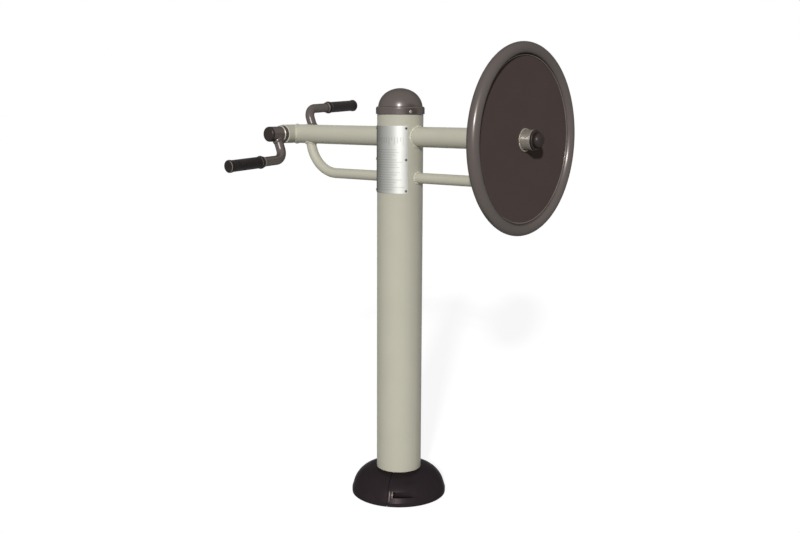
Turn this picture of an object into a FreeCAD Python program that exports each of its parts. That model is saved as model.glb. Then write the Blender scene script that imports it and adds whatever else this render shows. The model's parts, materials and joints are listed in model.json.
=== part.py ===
import FreeCAD, Part
import Sketcher
import math
import os
import re

# Outdoor arm cycle station: a post on a bolted base carries a hand crank on one arm and a
# turning wheel on the other. Origin on the post's axis at the underside of the base, +Z up,
# +X along the wheel's arm, -Y towards the instruction plate. Millimetres and degrees.

SIZES = {
    # Post, base and the cap on top
    "post_outer": (139.7, "outside diameter of the post tube"),
    "post_wall": (4.0, "wall of the post tube"),
    "post_head": (87.0, "post tube's top edge above the arms' axis"),
    "flange_gap": (6.25, "space between the base flange's edge and the boot"),
    "flange_thick": (12.0, "thickness of the base flange"),
    "drain_hole": (60.0, "hole in the middle of the base flange"),
    "anchor_circle": (210.0, "pitch circle of the anchor holes"),
    "anchor_hole": (18.0, "diameter of an anchor hole"),
    "anchor_count": (4, "number of anchor holes, and of gussets between them"),
    "gusset_reach": (45.0, "gusset along the flange"),
    "gusset_rise": (42.0, "gusset up the post"),
    "gusset_thick": (8.0, "gusset plate"),
    "gusset_toe": (8.0, "blunt ends of the gusset"),
    "weld_gap": (0.2, "root gap where one tube is welded to another"),
    "cap_gap": (0.3, "space between the post and the cap's band"),
    "cap_wall": (3.2, "wall of the cap's band"),
    "cap_overlap": (20.0, "length of post inside the cap's band"),
    "cap_ledge": (2.5, "ledge of the cap that sits on the post, and wall of its dome"),
    "cap_edge": (5.5, "rounding of the top of the cap's band"),
    "dome_step": (0.85, "level step from that rounding in to the dome"),
    "dome_rise": (54.5, "height of the dome above the band"),
    "dome_flat": (7.8, "radius of the dome's crown, less that of a plain ball segment"),
    "dome_lean": (6.0, "dome's wall at its foot, turned in from upright"),
    "cap_screw_count": (2, "screws round the cap's band"),
    "cap_screw_angle": (63.0, "first cap screw, turned from the front towards the wheel"),
    "cap_screw_rise": (7.5, "cap screws above the lower edge of the band"),
    "cap_screw_shank": (4.8, "shank of a cap screw"),
    "cap_screw_head": (9.0, "head of a cap screw"),
    "cap_screw_dome": (2.6, "height of a cap screw's head"),
    "cap_screw_length": (11.0, "shank length of a cap screw"),
    "screw_clearance": (0.2, "radial space of a screw or rivet in its hole"),
    # Instruction plate
    "plate_drop": (67.0, "plate's middle below the arms' axis"),
    "plate_height": (200.0, "height of the plate"),
    "plate_angle": (57.5, "the plate wraps this far to each side of the front"),
    "plate_thick": (1.2, "thickness of the plate"),
    "plate_gap": (0.15, "space between plate and post"),
    "rivet_inset_angle": (4.7, "rivets in from the plate's upright edges"),
    "rivet_inset": (7.0, "outer rivets in from the plate's top and bottom edges"),
    "rivet_head": (7.7, "head of a rivet"),
    "rivet_dome": (2.0, "height of a rivet's head"),
    "rivet_shank": (3.2, "shank of a rivet"),
    "rivet_length": (7.5, "shank length of a rivet"),
    # Split boot over the base
    "boot_gap": (0.4, "space between boot and post"),
    "boot_bulge": (77.0, "boot's widest line out from its bore"),
    "boot_lip": (11.7, "upright lip at the boot's foot"),
    "boot_lean": (16.6, "lean of the boot's flank above the lip"),
    "boot_rise": (71.3, "top of the boot above the lip"),
    "boot_wall": (3.0, "wall of the boot"),
    "boot_seam": (24.4, "seam, turned from the front towards the wheel"),
    "seam_gap": (1.4, "opening of the seam between the boot's halves"),
    "pocket_low": (27.0, "foot of the screw pocket beside a seam"),
    "pocket_tall": (17.0, "height of that pocket"),
    "pocket_depth": (21.0, "deep end of the pocket inside the boot's widest line"),
    "pocket_start": (16.0, "deep end of the pocket from the seam"),
    "pocket_angle": (39.4, "shallow end of the pocket from the seam"),
    "pocket_wall": (3.0, "wall round the pocket"),
    "lug_length": (14.0, "lug across the seam that takes the pocket's screw"),
    "boot_screw_shank": (4.8, "shank of a boot screw"),
    "boot_screw_length": (30.0, "shank length of a boot screw"),
    "boot_screw_head": (9.5, "head of a boot screw"),
    "boot_screw_dome": (3.0, "height of a boot screw's head"),
    # Arms and braces
    "arm_outer": (60.3, "outside diameter of both arms"),
    "arm_wall": (3.2, "wall of both arms"),
    "arm_height": (1120.0, "height of the arms' common axis"),
    "crank_reach": (440.0, "crank axle from the post's axis"),
    "disc_reach": (436.0, "wheel's middle plane from the post's axis"),
    "brace_outer": (32.0, "outside diameter of the braces"),
    "brace_wall": (2.6, "wall of the braces"),
    "brace_reach": (372.0, "upright leg of the crank's brace from the post's axis"),
    "brace_setback": (64.0, "upright leg of the wheel's brace from the wheel's middle plane"),
    "brace_bend": (111.0, "centre-line radius of a brace's bend"),
    "brace_leg": (11.0, "straight leg of a brace, from its bend to the arms' axis"),
    # Ball bearing used in both hubs
    "bearing_bore": (25.0, "bore of the bearing"),
    "bearing_outer": (52.0, "outside of the bearing"),
    "bearing_width": (15.0, "width of the bearing"),
    "groove_wall": (2.8, "bearing ring behind the ball"),
    "land_share": (0.386, "ring's land from the balls' circle, as a share of the ball's diameter"),
    "ball_count": (9, "balls in one bearing"),
    "ball_play": (0.06, "space between a ball and its groove"),
    "fit_play": (0.01, "radial play of a bearing ring in its seat"),
    "clip_ring_thick": (2.0, "retaining ring"),
    "clip_ring_depth": (1.5, "depth of a retaining ring's groove"),
    "clip_ring_width": (4.0, "radial width of a retaining ring"),
    "clip_ring_open": (40.0, "open angle of a retaining ring"),
    "clip_ring_play": (0.1, "play of a retaining ring in its groove"),
    "seal_thick": (5.5, "thickness of a shaft seal"),
    "seal_space": (0.75, "space before and behind a shaft seal"),
    "seat_wall": (4.14, "wall of the crank's shell outside a bearing seat"),
    "seal_play": (0.3, "space between a seal's lip and what turns in it"),
    # Crank shell, axle and hubs
    "shell_length": (117.0, "length of the crank's bearing shell"),
    "shell_bore": (44.0, "bore of the shell between its bearings"),
    "axle_shoulder": (31.0, "thick middle of the crank axle"),
    "collar_outer": (54.6, "dust collar beside the shell"),
    "collar_thick": (15.0, "width of the dust collar"),
    "collar_bevel": (2.0, "bevel of the dust collar"),
    "collar_gap": (0.8, "space between shell and dust collar"),
    "spigot_outer": (32.0, "spigot of the dust collar, and shoulder behind the wheel's bearing"),
    "hub_outer": (48.3, "outside of a crank hub"),
    "hub_length": (44.0, "length of a crank hub"),
    "hub_margin": (0.7, "hub past the crank tube at its inner end"),
    "hub_recess": (36.0, "recess in the hub's outer end"),
    "hub_recess_depth": (18.5, "depth of that recess"),
    "shaft_play": (0.02, "radial play of a hub on its axle"),
    "axle_setback": (1.5, "axle end below the washer that clamps the hub"),
    "key_width": (8.0, "key between axle and hub"),
    "key_height": (7.0, "height of the key"),
    "key_length": (18.0, "length of the key"),
    "key_play": (0.05, "play of the key in its slots"),
    "hub_bolt": (10.0, "bolt in the axle's end"),
    "hub_bolt_length": (26.0, "bolt in the axle"),
    "hub_bolt_head": (5.0, "height of the bolt's head"),
    "hub_bolt_flats": (17.0, "width across the bolt head's flats"),
    "thread_play": (0.05, "radial play of a bolt or nut on its thread"),
    "bolt_washer_play": (1.0, "space round the washer under the bolt's head"),
    "bolt_washer_thick": (2.5, "thickness of that washer"),
    "plug_thick": (9.0, "flange of a hub's plug"),
    "plug_round": (7.0, "rounded edge of a hub's plug"),
    "plug_depth": (4.0, "part of a plug inside its hub"),
    "plug_wall": (5.0, "wall of a plug's skirt"),
    "plug_play": (0.1, "radial play of a plug in its hub"),
    # Crank tubes and grips
    "crank_angle": (22.0, "near crank from straight down, towards the post"),
    "crank_tube": (30.0, "outside diameter of a crank tube"),
    "crank_tube_wall": (3.0, "wall of a crank tube"),
    "crank_throw": (86.0, "crank tube's corner from the axle"),
    "crank_bend": (36.0, "centre-line radius of a crank tube's bend"),
    "handle_splay": (3.3, "handle leans away from the axle's line"),
    "handle_run": (91.8, "crank tube past its corner"),
    "ring_outer": (35.0, "thrust ring between crank tube and grip"),
    "ring_thick": (9.0, "thickness of the thrust ring"),
    "ring_bevel": (1.0, "bevel of the thrust ring"),
    "grip_play": (0.5, "space between thrust ring and grip"),
    "grip_length": (140.0, "length of a grip"),
    "grip_outer": (36.5, "body of a grip"),
    "grip_flange_lip": (2.25, "inner flange of a grip out from its body"),
    "grip_flange_thick": (6.5, "thickness of that flange"),
    "grip_end_lip": (1.75, "bead at the grip's outer end out from its body"),
    "grip_end_thick": (11.0, "length of that bead"),
    "grip_round": (5.0, "rounding of the grip's outer end"),
    "grip_flange_round": (2.0, "rounding of the inner flange"),
    "grip_end_wall": (5.0, "closed end of a grip"),
    "sleeve_outer": (30.0, "sleeve inside a grip"),
    "grip_end_space": (3.2, "space between the sleeve's screw and the grip's closed end"),
    "sleeve_play": (0.05, "running fit of the sleeve on its pin"),
    "pin_size": (20.0, "handle pin under the sleeve"),
    "pin_plug": (35.0, "length of the pin inside the crank tube"),
    "pin_proud": (0.3, "pin past the end of the sleeve"),
    "grip_screw": (8.0, "screw in the end of the handle pin"),
    "grip_screw_length": (22.0, "length of that screw in the pin"),
    "grip_screw_head": (14.0, "head of that screw"),
    "grip_screw_head_tall": (4.0, "height of that head"),
    "grip_washer": (26.0, "washer that keeps the sleeve on its pin"),
    "grip_washer_thick": (2.5, "thickness of that washer"),
    # Wheel
    "rim_radius": (248.0, "wheel's axis to the middle of its rim tube"),
    "rim_tube": (35.0, "outside diameter of the rim tube"),
    "rim_wall": (2.6, "wall of the rim tube"),
    "rim_vent": (6.0, "vent hole in the rim tube"),
    "disc_thick": (4.0, "plate inside the rim"),
    "disc_hub_front": (33.5, "wheel hub in front of the middle plane"),
    "disc_hub_rear": (36.0, "wheel hub behind the middle plane"),
    "disc_hub_bore": (44.0, "bore of the wheel hub between its bearings"),
    "disc_hub_wall": (2.5, "wall of the wheel hub outside a bearing seat"),
    "disc_hub_edge": (1.5, "bevel of the wheel hub"),
    "disc_clear": (2.0, "space between wheel hub and the arm's end"),
    "arm_plug_flange": (6.0, "flange of the plug in the wheel arm's end"),
    "arm_plug_depth": (14.0, "part of that plug inside the arm"),
    "arm_plug_play": (0.1, "radial play of that plug in the arm"),
    "axle_tail": (18.0, "wheel axle behind the arm's plug"),
    "axle_thread": (20.0, "threaded end of the wheel axle"),
    "axle_nut_thick": (9.0, "nut on the wheel axle"),
    "axle_nut_flats": (28.0, "width across the nut's flats"),
    "axle_washer": (36.0, "washer under the nut"),
    "axle_washer_thick": (3.0, "thickness of that washer"),
    "axle_proud": (3.0, "thread past the nut"),
    "disc_cap_flange": (56.6, "flange of the wheel's hub cap"),
    "disc_cap_thick": (7.0, "thickness of that flange"),
    "disc_cap_round": (3.0, "rounding of that flange"),
    "disc_button": (43.0, "button of the wheel's hub cap"),
    "disc_button_tall": (17.5, "height of the button above the flange"),
    "disc_button_round": (15.0, "rounding of the button"),
    "disc_cap_wall": (3.0, "wall of the wheel's hub cap"),
    "disc_cap_depth": (4.0, "skirt of the cap inside the hub"),
}

# Sizes worked out from the ones above
DERIVED = {
    "post_radius": "post_outer / 2",
    "post_top": "arm_height + post_head",
    "weld_radius": "post_radius + weld_gap",
    "arm_radius": "arm_outer / 2",
    "brace_height": "brace_bend + brace_leg",
    "band_inner": "post_radius + cap_gap",
    "band_outer": "band_inner + cap_wall",
    "band_height": "cap_overlap + cap_ledge",
    "dome_foot": "band_outer - cap_edge - dome_step",
    "dome_top": "band_height + dome_rise",
    "dome_span": "dome_foot ^ 2 + dome_rise ^ 2",
    "crown_radius": "dome_span / (2 * dome_rise) + dome_flat",
    "crown_centre": "dome_top - crown_radius",
    "crown_over": "crown_radius - dome_rise",
    "knuckle_fall": "dome_foot * cos(dome_lean) + crown_over * sin(dome_lean) - crown_radius",
    "knuckle_radius": "(dome_span / 2 - dome_rise * crown_radius) / knuckle_fall",
    "knuckle_x": "dome_foot - knuckle_radius * cos(dome_lean)",
    "knuckle_z": "band_height - knuckle_radius * sin(dome_lean)",
    "knuckle_share": "knuckle_x / (crown_radius - knuckle_radius)",
    "knuckle_skin": "knuckle_radius - cap_ledge",
    "dome_mouth": "knuckle_x + sqrt(knuckle_skin ^ 2 - (cap_overlap - knuckle_z) ^ 2)",
    "cap_base": "post_top - cap_overlap",
    "plate_centre": "arm_height - plate_drop",
    "rivet_angle": "plate_angle - rivet_inset_angle",
    "rivet_spread": "plate_height / 2 - rivet_inset",
    "plate_inner": "post_radius + plate_gap",
    "plate_outer": "plate_inner + plate_thick",
    "boot_bore": "post_radius + boot_gap",
    "boot_top": "boot_lip + boot_rise",
    "boot_sweep": "boot_bulge * cos(boot_lean) - boot_rise * sin(boot_lean)",
    "boot_round": "boot_sweep / (1 - sin(boot_lean))",
    "boot_middle": "boot_top - boot_round",
    "boot_outer": "boot_bore + boot_bulge",
    "flange_radius": "boot_outer - boot_wall - flange_gap",
    "pocket_floor": "boot_outer - pocket_depth",
    "pocket_middle": "pocket_low + pocket_tall / 2",
    "shoulder_radius": "boot_bore + sqrt(boot_round ^ 2 - (pocket_middle - boot_middle) ^ 2)",
    "boot_screw_radius": "(pocket_floor + shoulder_radius) / 2",
    "pitch_radius": "(bearing_bore + bearing_outer) / 4",
    "ball_size": "(bearing_outer - bearing_bore) / 2 - 2 * groove_wall",
    "outer_land": "2 * (pitch_radius + land_share * ball_size)",
    "inner_land": "2 * (pitch_radius - land_share * ball_size)",
    "groove_radius": "ball_size / 2 + ball_play",
    "outer_groove": "sqrt(groove_radius ^ 2 - (outer_land / 2 - pitch_radius) ^ 2)",
    "inner_groove": "sqrt(groove_radius ^ 2 - (pitch_radius - inner_land / 2) ^ 2)",
    "seat_radius": "bearing_outer / 2 + fit_play",
    "journal_radius": "bearing_bore / 2 - fit_play",
    "shell_radius": "seat_radius + seat_wall",
    "clip_start": "seal_thick + 2 * seal_space",
    "bearing_start": "clip_start + clip_ring_thick",
    "seat_depth": "bearing_start + bearing_width",
    "clip_radius": "seat_radius + clip_ring_depth",
    "shell_half": "shell_length / 2",
    "shoulder_half": "shell_half - seat_depth",
    "ring_face": "shell_half - bearing_start",
    "collar_face": "shell_half + collar_gap",
    "hub_face": "collar_face + collar_thick",
    "tube_plane": "hub_face + hub_margin + crank_tube / 2",
    "hub_seat": "hub_length - hub_recess_depth",
    "axle_half": "hub_face + hub_seat - axle_setback",
    "key_start": "hub_face + (hub_seat - key_length) / 2",
    "key_base": "bearing_bore / 2 - key_height / 2",
    "bolt_hole": "hub_bolt / 2 + thread_play",
    "bolt_depth": "hub_bolt_length + axle_setback",
    "crank_bore": "crank_tube / 2 - crank_tube_wall",
    "pin_end": "handle_run + ring_thick + grip_play + sleeve_length + pin_proud",
    "sleeve_start": "handle_run + ring_thick + grip_play",
    "screw_hole": "grip_screw / 2 + thread_play",
    "bolt_washer": "hub_recess - 2 * bolt_washer_play",
    "grip_flange": "grip_outer + 2 * grip_flange_lip",
    "grip_end": "grip_outer + 2 * grip_end_lip",
    "screw_room": "pin_proud + grip_washer_thick + grip_screw_head_tall + grip_end_space",
    "sleeve_length": "grip_length - grip_end_wall - screw_room",
    "disc_hub_radius": "seat_radius + disc_hub_wall",
    "disc_hub_length": "disc_hub_front + disc_hub_rear",
    "disc_hub_back": "disc_reach - disc_hub_rear",
    "disc_hub_face": "disc_reach + disc_hub_front",
    "arm_plug_face": "disc_hub_back - disc_clear",
    "arm_end": "arm_plug_face - arm_plug_flange",
    "axle_start": "arm_end - arm_plug_depth - axle_tail",
    "rear_ring": "disc_hub_back + bearing_start",
    "front_ring": "disc_hub_face - seat_depth",
    "front_face": "front_ring + bearing_width",
    "nut_start": "front_face + axle_washer_thick",
    "axle_tip": "nut_start + axle_nut_thick + axle_proud",
    "button_face": "disc_cap_depth + disc_cap_thick + disc_button_tall",
}

doc = FreeCAD.newDocument("arm_cycle_station")
sheet = doc.addObject("Spreadsheet::Sheet", "dims")
nodes = []


def fill_sheet():
    """Write each size with its name, number and meaning, and name the cell."""
    for row, (name, (number, meaning)) in enumerate(SIZES.items(), start=1):
        sheet.set(f"A{row}", name)
        sheet.set(f"B{row}", str(number))
        sheet.set(f"C{row}", meaning)
        sheet.setAlias(f"B{row}", name)
    doc.recompute()


def formula(text):
    """Replace each size's name in a formula by its cell, and each derived size by its formula."""
    def cell(match):
        name = match.group(0)
        if name in DERIVED:
            return "(" + formula(DERIVED[name]) + ")"
        if name in SIZES:
            return "dims." + name
        return name
    return re.sub(r"[a-z][a-z_]*", cell, str(text))


def number(text):
    """Present value of a formula."""
    return float(sheet.evalExpression(formula(text)))


def bind(item, **formulas):
    """Tie properties of an object to formulas of the sheet's sizes."""
    for name, text in formulas.items():
        item.setExpression(name, formula(text))
    return item


def at(x=0, y=0, z=0, axis="0; 0; 1", angle=0):
    """Formula of a placement: a shift, then a turn about an axis."""
    return f"placement(vector({x}; {y}; {z}); rotation(vector({axis}); {angle}))"


def put(item, frame):
    """Place an object by a formula."""
    item.setExpression("Placement", formula(frame))
    return item


def node(item, label):
    """Keep an object as a named piece of the assembly."""
    item.Label = label
    nodes.append(item)
    return item


# Frames: a piece is drawn along its own +Z and laid along the axis that it belongs to.
# On the crank, out of the shell is -Y on the near side, and the near crank hangs down.
CRANK = at("-crank_reach", 0, "arm_height", "0; 1; 0", "-crank_angle")
SIDES = {
    "near": CRANK,
    "far": CRANK + " * " + at(axis="1; 0; 0", angle=180),
}


def along_axle(side, offset):
    """Frame on the crank axle, pointing out of the shell, at a distance from its middle."""
    return SIDES[side] + " * " + at(0, f"-({offset})", 0, "1; 0; 0", 90)


def along_handle(side, offset):
    """Frame on a handle's axis, pointing to its free end, at a distance from the corner."""
    corner = at(0, "-tube_plane", "-crank_throw", "1; 0; 0", "90 + handle_splay")
    return SIDES[side] + " * " + corner + " * " + at(0, 0, offset)


def along_arm(offset):
    """Frame on the wheel's axis, pointing away from the post."""
    return at(offset, 0, "arm_height", "0; 1; 0", 90)


def around_post(angle, radius, height):
    """Frame on the post's surface, pointing outwards, turned from the front towards the wheel."""
    turn = at(0, 0, height, "0; 0; 1", angle)
    return turn + " * " + at(0, f"-({radius})", 0, "1; 0; 0", 90)


def origin_plane(body, role):
    """Plane of a body's own origin."""
    return next(item for item in body.Origin.OriginFeatures if item.Role == role)


def new_sketch(body, name, role):
    """Sketch on a plane of a body's origin."""
    sketch = body.newObject("Sketcher::SketchObject", name)
    sketch.AttachmentSupport = [(origin_plane(body, role), "")]
    sketch.MapMode = "FlatFace"
    return sketch


def hold(sketch, kind, geometry, vertex, text):
    """Fix one coordinate of a sketch point by a formula."""
    index = sketch.addConstraint(Sketcher.Constraint(kind, -1, 1, geometry, vertex, number(text)))
    name = f"{kind}_{geometry}_{vertex}"
    sketch.renameConstraint(index, name)
    sketch.setExpression("Constraints." + name, formula(text))


def draw_outline(sketch, points, arcs=None):
    """Closed outline. A point is (x, y) or (x, y, held), where held names the coordinates to fix.
    arcs gives, for the side that starts at a point, its centre and whether it runs clockwise."""
    arcs = arcs or {}
    spots = [FreeCAD.Vector(number(point[0]), number(point[1]), 0) for point in points]
    ends = []
    for index, start in enumerate(spots):
        stop = spots[(index + 1) % len(spots)]
        if index not in arcs:
            sketch.addGeometry(Part.LineSegment(start, stop), False)
            ends.append((1, 2))
            continue
        centre = FreeCAD.Vector(number(arcs[index][0]), number(arcs[index][1]), 0)
        clockwise = arcs[index][2]
        first, last = (stop, start) if clockwise else (start, stop)
        circle = Part.Circle(centre, FreeCAD.Vector(0, 0, 1), (start - centre).Length)
        angles = [math.atan2(spot.y - centre.y, spot.x - centre.x) for spot in (first, last)]
        sketch.addGeometry(Part.ArcOfCircle(circle, angles[0], angles[1]), False)
        ends.append((2, 1) if clockwise else (1, 2))
    for index in range(len(spots)):
        after = (index + 1) % len(spots)
        sketch.addConstraint(
            Sketcher.Constraint("Coincident", index, ends[index][1], after, ends[after][0]))
    for index, point in enumerate(points):
        held = point[2] if len(point) > 2 else "xy"
        if "x" in held:
            hold(sketch, "DistanceX", index, ends[index][0], point[0])
        if "y" in held:
            hold(sketch, "DistanceY", index, ends[index][0], point[1])
    for index, (x, y, _) in arcs.items():
        hold(sketch, "DistanceX", index, 3, x)
        hold(sketch, "DistanceY", index, 3, y)


def turned(label, points, arcs=None, sweep="360"):
    """Body turned about its own Z axis from an outline of (radius, height) points."""
    body = doc.addObject("PartDesign::Body", label + "_turned")
    sketch = new_sketch(body, label + "_outline", "XZ_Plane")
    draw_outline(sketch, points, arcs)
    solid = body.newObject("PartDesign::Revolution", label + "_revolution")
    solid.Profile = sketch
    solid.ReferenceAxis = (sketch, ["V_Axis"])
    bind(solid, Angle=sweep)
    return body


def ring(label, inner, outer, thick):
    """Plain turned ring."""
    return turned(label, [(inner, 0), (outer, 0), (outer, thick), (inner, thick)])


def rod(name, radius, length, frame):
    """Round bar."""
    bar = bind(doc.addObject("Part::Cylinder", name), Radius=radius, Height=length)
    return put(bar, frame)


def block(name, size, frame):
    """Rectangular block, with its corner at the frame's origin."""
    item = doc.addObject("Part::Box", name)
    bind(item, Length=size[0], Width=size[1], Height=size[2])
    return put(item, frame)


def group(name, items):
    """Several solids kept together."""
    compound = doc.addObject("Part::Compound", name)
    compound.Links = items
    return compound


def cut(name, base, tools):
    """Solid less one or more tools."""
    result = doc.addObject("Part::Cut", name)
    result.Base = base
    result.Tool = tools[0] if len(tools) == 1 else group(name + "_tools", tools)
    return result


def copies(label, master, frames):
    """The same piece at several places, as one node."""
    links = []
    for index, frame in enumerate(frames):
        link = doc.addObject("App::Link", f"{label}_{index}")
        link.LinkedObject = master
        links.append(put(link, frame))
    return node(group(label + "_group", links), label)


def bent_tube(label, outer, wall, run, bend, turn, rise):
    """Tube along +X for a run, then turned up towards +Z by a bend, and on for a rise."""
    body = doc.addObject("PartDesign::Body", label + "_bent")
    tangent = f"({bend}) * tan(({turn}) / 2)"
    first = number(f"({run}) - {tangent}")
    radius = number(bend)
    angle = math.radians(number(turn))
    last = number(f"({rise}) - {tangent}")
    spine = new_sketch(body, label + "_spine", "XZ_Plane")
    heel = FreeCAD.Vector(first, 0, 0)
    centre = heel + FreeCAD.Vector(0, radius, 0)
    toe = centre + FreeCAD.Vector(radius * math.sin(angle), -radius * math.cos(angle), 0)
    tip = toe + FreeCAD.Vector(last * math.cos(angle), last * math.sin(angle), 0)
    circle = Part.Circle(centre, FreeCAD.Vector(0, 0, 1), radius)
    spine.addGeometry(Part.LineSegment(FreeCAD.Vector(0, 0, 0), heel), False)
    spine.addGeometry(Part.ArcOfCircle(circle, -math.pi / 2, angle - math.pi / 2), False)
    spine.addGeometry(Part.LineSegment(toe, tip), False)
    spine.addConstraint(Sketcher.Constraint("Coincident", 0, 1, -1, 1))
    spine.addConstraint(Sketcher.Constraint("Horizontal", 0))
    spine.addConstraint(Sketcher.Constraint("Tangent", 0, 2, 1, 1))
    spine.addConstraint(Sketcher.Constraint("Tangent", 1, 2, 2, 1))
    sizes = (
        ("run", Sketcher.Constraint("Distance", 0, first), f"({run}) - {tangent}"),
        ("bend", Sketcher.Constraint("Radius", 1, radius), bend),
        ("turn", Sketcher.Constraint("Angle", 0, 1, 2, 1, angle), turn),
        ("rise", Sketcher.Constraint("Distance", 2, last), f"({rise}) - {tangent}"),
    )
    for name, constraint, text in sizes:
        spine.renameConstraint(spine.addConstraint(constraint), name)
        spine.setExpression("Constraints." + name, formula(text))
    section = new_sketch(body, label + "_section", "YZ_Plane")
    radii = (("outside", f"({outer}) / 2"), ("inside", f"({outer}) / 2 - ({wall})"))
    for index, (name, text) in enumerate(radii):
        circle = Part.Circle(FreeCAD.Vector(0, 0, 0), FreeCAD.Vector(0, 0, 1), number(text))
        section.addGeometry(circle, False)
        section.addConstraint(Sketcher.Constraint("Coincident", index, 3, -1, 1))
        constraint = Sketcher.Constraint("Radius", index, number(text))
        section.renameConstraint(section.addConstraint(constraint), name)
        section.setExpression("Constraints." + name, formula(text))
    pipe = body.newObject("PartDesign::AdditivePipe", label + "_pipe")
    pipe.Profile = section
    pipe.Spine = spine
    return body


def make_base():
    """Round flange with anchor holes, and gussets between flange and post."""
    body = turned("base_flange", [
        ("drain_hole / 2", 0), ("flange_radius", 0),
        ("flange_radius", "flange_thick"), ("drain_hole / 2", "flange_thick")])
    sketch = new_sketch(body, "anchor_outline", "XY_Plane")
    place = "anchor_circle / 2 * cos(180 / anchor_count)"
    side = "anchor_circle / 2 * sin(180 / anchor_count)"
    spot = FreeCAD.Vector(number(place), number(side), 0)
    hole = Part.Circle(spot, FreeCAD.Vector(0, 0, 1), number("anchor_hole / 2"))
    sketch.addGeometry(hole, False)
    hold(sketch, "DistanceX", 0, 3, place)
    hold(sketch, "DistanceY", 0, 3, side)
    size = Sketcher.Constraint("Radius", 0, number("anchor_hole / 2"))
    sketch.renameConstraint(sketch.addConstraint(size), "hole")
    sketch.setExpression("Constraints.hole", formula("anchor_hole / 2"))
    pocket = body.newObject("PartDesign::Pocket", "anchor_pocket")
    pocket.Profile = sketch
    pocket.Type = "ThroughAll"
    pocket.Midplane = True
    doc.recompute()
    pattern = body.newObject("PartDesign::PolarPattern", "anchor_pattern")
    pattern.Originals = [pocket]
    pattern.Axis = (origin_axis(body), [""])
    pattern.Angle = 360
    bind(pattern, Occurrences="anchor_count")
    body.Tip = pattern
    node(body, "base_flange")
    make_gussets()


def origin_axis(body):
    """Upright axis of a body's own origin."""
    return next(item for item in body.Origin.OriginFeatures if item.Role == "Z_Axis")


def make_gussets():
    """Ribs that stand on the flange against the post."""
    body = doc.addObject("PartDesign::Body", "gusset")
    sketch = new_sketch(body, "gusset_outline", "XZ_Plane")
    inside = "weld_radius"
    foot = "flange_thick"
    draw_outline(sketch, [
        (inside, foot),
        (f"{inside} + gusset_reach", foot),
        (f"{inside} + gusset_reach", f"{foot} + gusset_toe"),
        (f"{inside} + gusset_toe", f"{foot} + gusset_rise"),
        (inside, f"{foot} + gusset_rise")])
    pad = body.newObject("PartDesign::Pad", "gusset_pad")
    pad.Profile = sketch
    pad.Midplane = True
    bind(pad, Length="gusset_thick")
    count = int(number("anchor_count"))
    frames = [at(angle=f"{index} * 360 / anchor_count") for index in range(count)]
    copies("base_gussets", body, frames)


def screw_frames(radius):
    """Places of the cap's screws on a surface round the post."""
    count = int(number("cap_screw_count"))
    return [
        around_post(f"cap_screw_angle + {index} * 360 / cap_screw_count", radius,
                    "cap_base + cap_screw_rise")
        for index in range(count)]


def rivet_frames(radius):
    """Places of the plate's rivets on a surface round the post."""
    return [
        around_post(f"{side} * rivet_angle", radius, f"plate_centre + {row} * rivet_spread")
        for side in (-1, 1) for row in (-1, 0, 1)]


def drills(name, shank, frames, start, depth):
    """Round tools that drill towards the post's axis."""
    tools = []
    for index, frame in enumerate(frames):
        place = frame + " * " + at(0, 0, f"-({start})")
        tools.append(rod(f"{name}_{index}", f"({shank}) / 2 + screw_clearance", depth, place))
    return tools


def domed_fastener(label, shank, length, head, dome, frames):
    """Rivet or screw with a round head that rises above the surface that it holds."""
    sphere = f"(({head}) ^ 2 / 4 + ({dome}) ^ 2) / (2 * ({dome}))"
    master = turned(label, [
        (0, 0), (f"({shank}) / 2", 0), (f"({shank}) / 2", length), (f"({head}) / 2", length),
        (0, f"({length}) + ({dome})", "x")],
        {3: (0, f"({length}) + ({dome}) - {sphere}", False)})
    seated = [frame + " * " + at(0, 0, f"-({length})") for frame in frames]
    copies(label, master, seated)


def make_post():
    """Post tube, drilled for the plate's rivets and the cap's screws."""
    outside = rod("post_outside", "post_radius", "post_top - flange_thick", at(z="flange_thick"))
    inside = rod("post_inside", "post_radius - post_wall", "post_top", at())
    holes = drills("rivet_drill", "rivet_shank", rivet_frames("post_radius"),
                   "2 * post_wall", "3 * post_wall")
    holes += drills("screw_drill", "cap_screw_shank", screw_frames("post_radius"),
                    "2 * post_wall", "3 * post_wall")
    node(cut("post_cut", outside, [inside] + holes), "post_tube")


def make_cap():
    """Domed cap whose band goes over the post, held by screws."""
    joint = "knuckle_share * crown_radius"
    joint_height = f"crown_centre + sqrt(crown_radius ^ 2 - ({joint}) ^ 2)"
    inner_joint = "knuckle_share * (crown_radius - cap_ledge)"
    inner_height = f"crown_centre + sqrt((crown_radius - cap_ledge) ^ 2 - ({inner_joint}) ^ 2)"
    crown = (0, "crown_centre")
    knuckle = ("knuckle_x", "knuckle_z")
    body = turned("cap", [
        ("band_inner", 0),
        ("band_outer", 0),
        ("band_outer", "band_height - cap_edge"),
        ("band_outer - cap_edge", "band_height", "x"),
        ("dome_foot", "band_height"),
        (joint, joint_height, "x"),
        (0, "dome_top", "x"),
        (0, "dome_top - cap_ledge"),
        (inner_joint, inner_height, "x"),
        ("dome_mouth", "cap_overlap", "y"),
        ("band_inner", "cap_overlap")],
        {2: ("band_outer - cap_edge", "band_height - cap_edge", False),
         4: (*knuckle, False), 5: (*crown, False), 7: (*crown, True), 8: (*knuckle, True)})
    put(body, at(z="cap_base"))
    holes = drills("band_drill", "cap_screw_shank", screw_frames("band_outer"),
                   "2 * cap_wall", "3 * cap_wall")
    node(cut("cap_cut", body, holes), "dome_cap")
    domed_fastener("cap_screws", "cap_screw_shank", "cap_screw_length", "cap_screw_head",
                   "cap_screw_dome", screw_frames("band_outer"))


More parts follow.
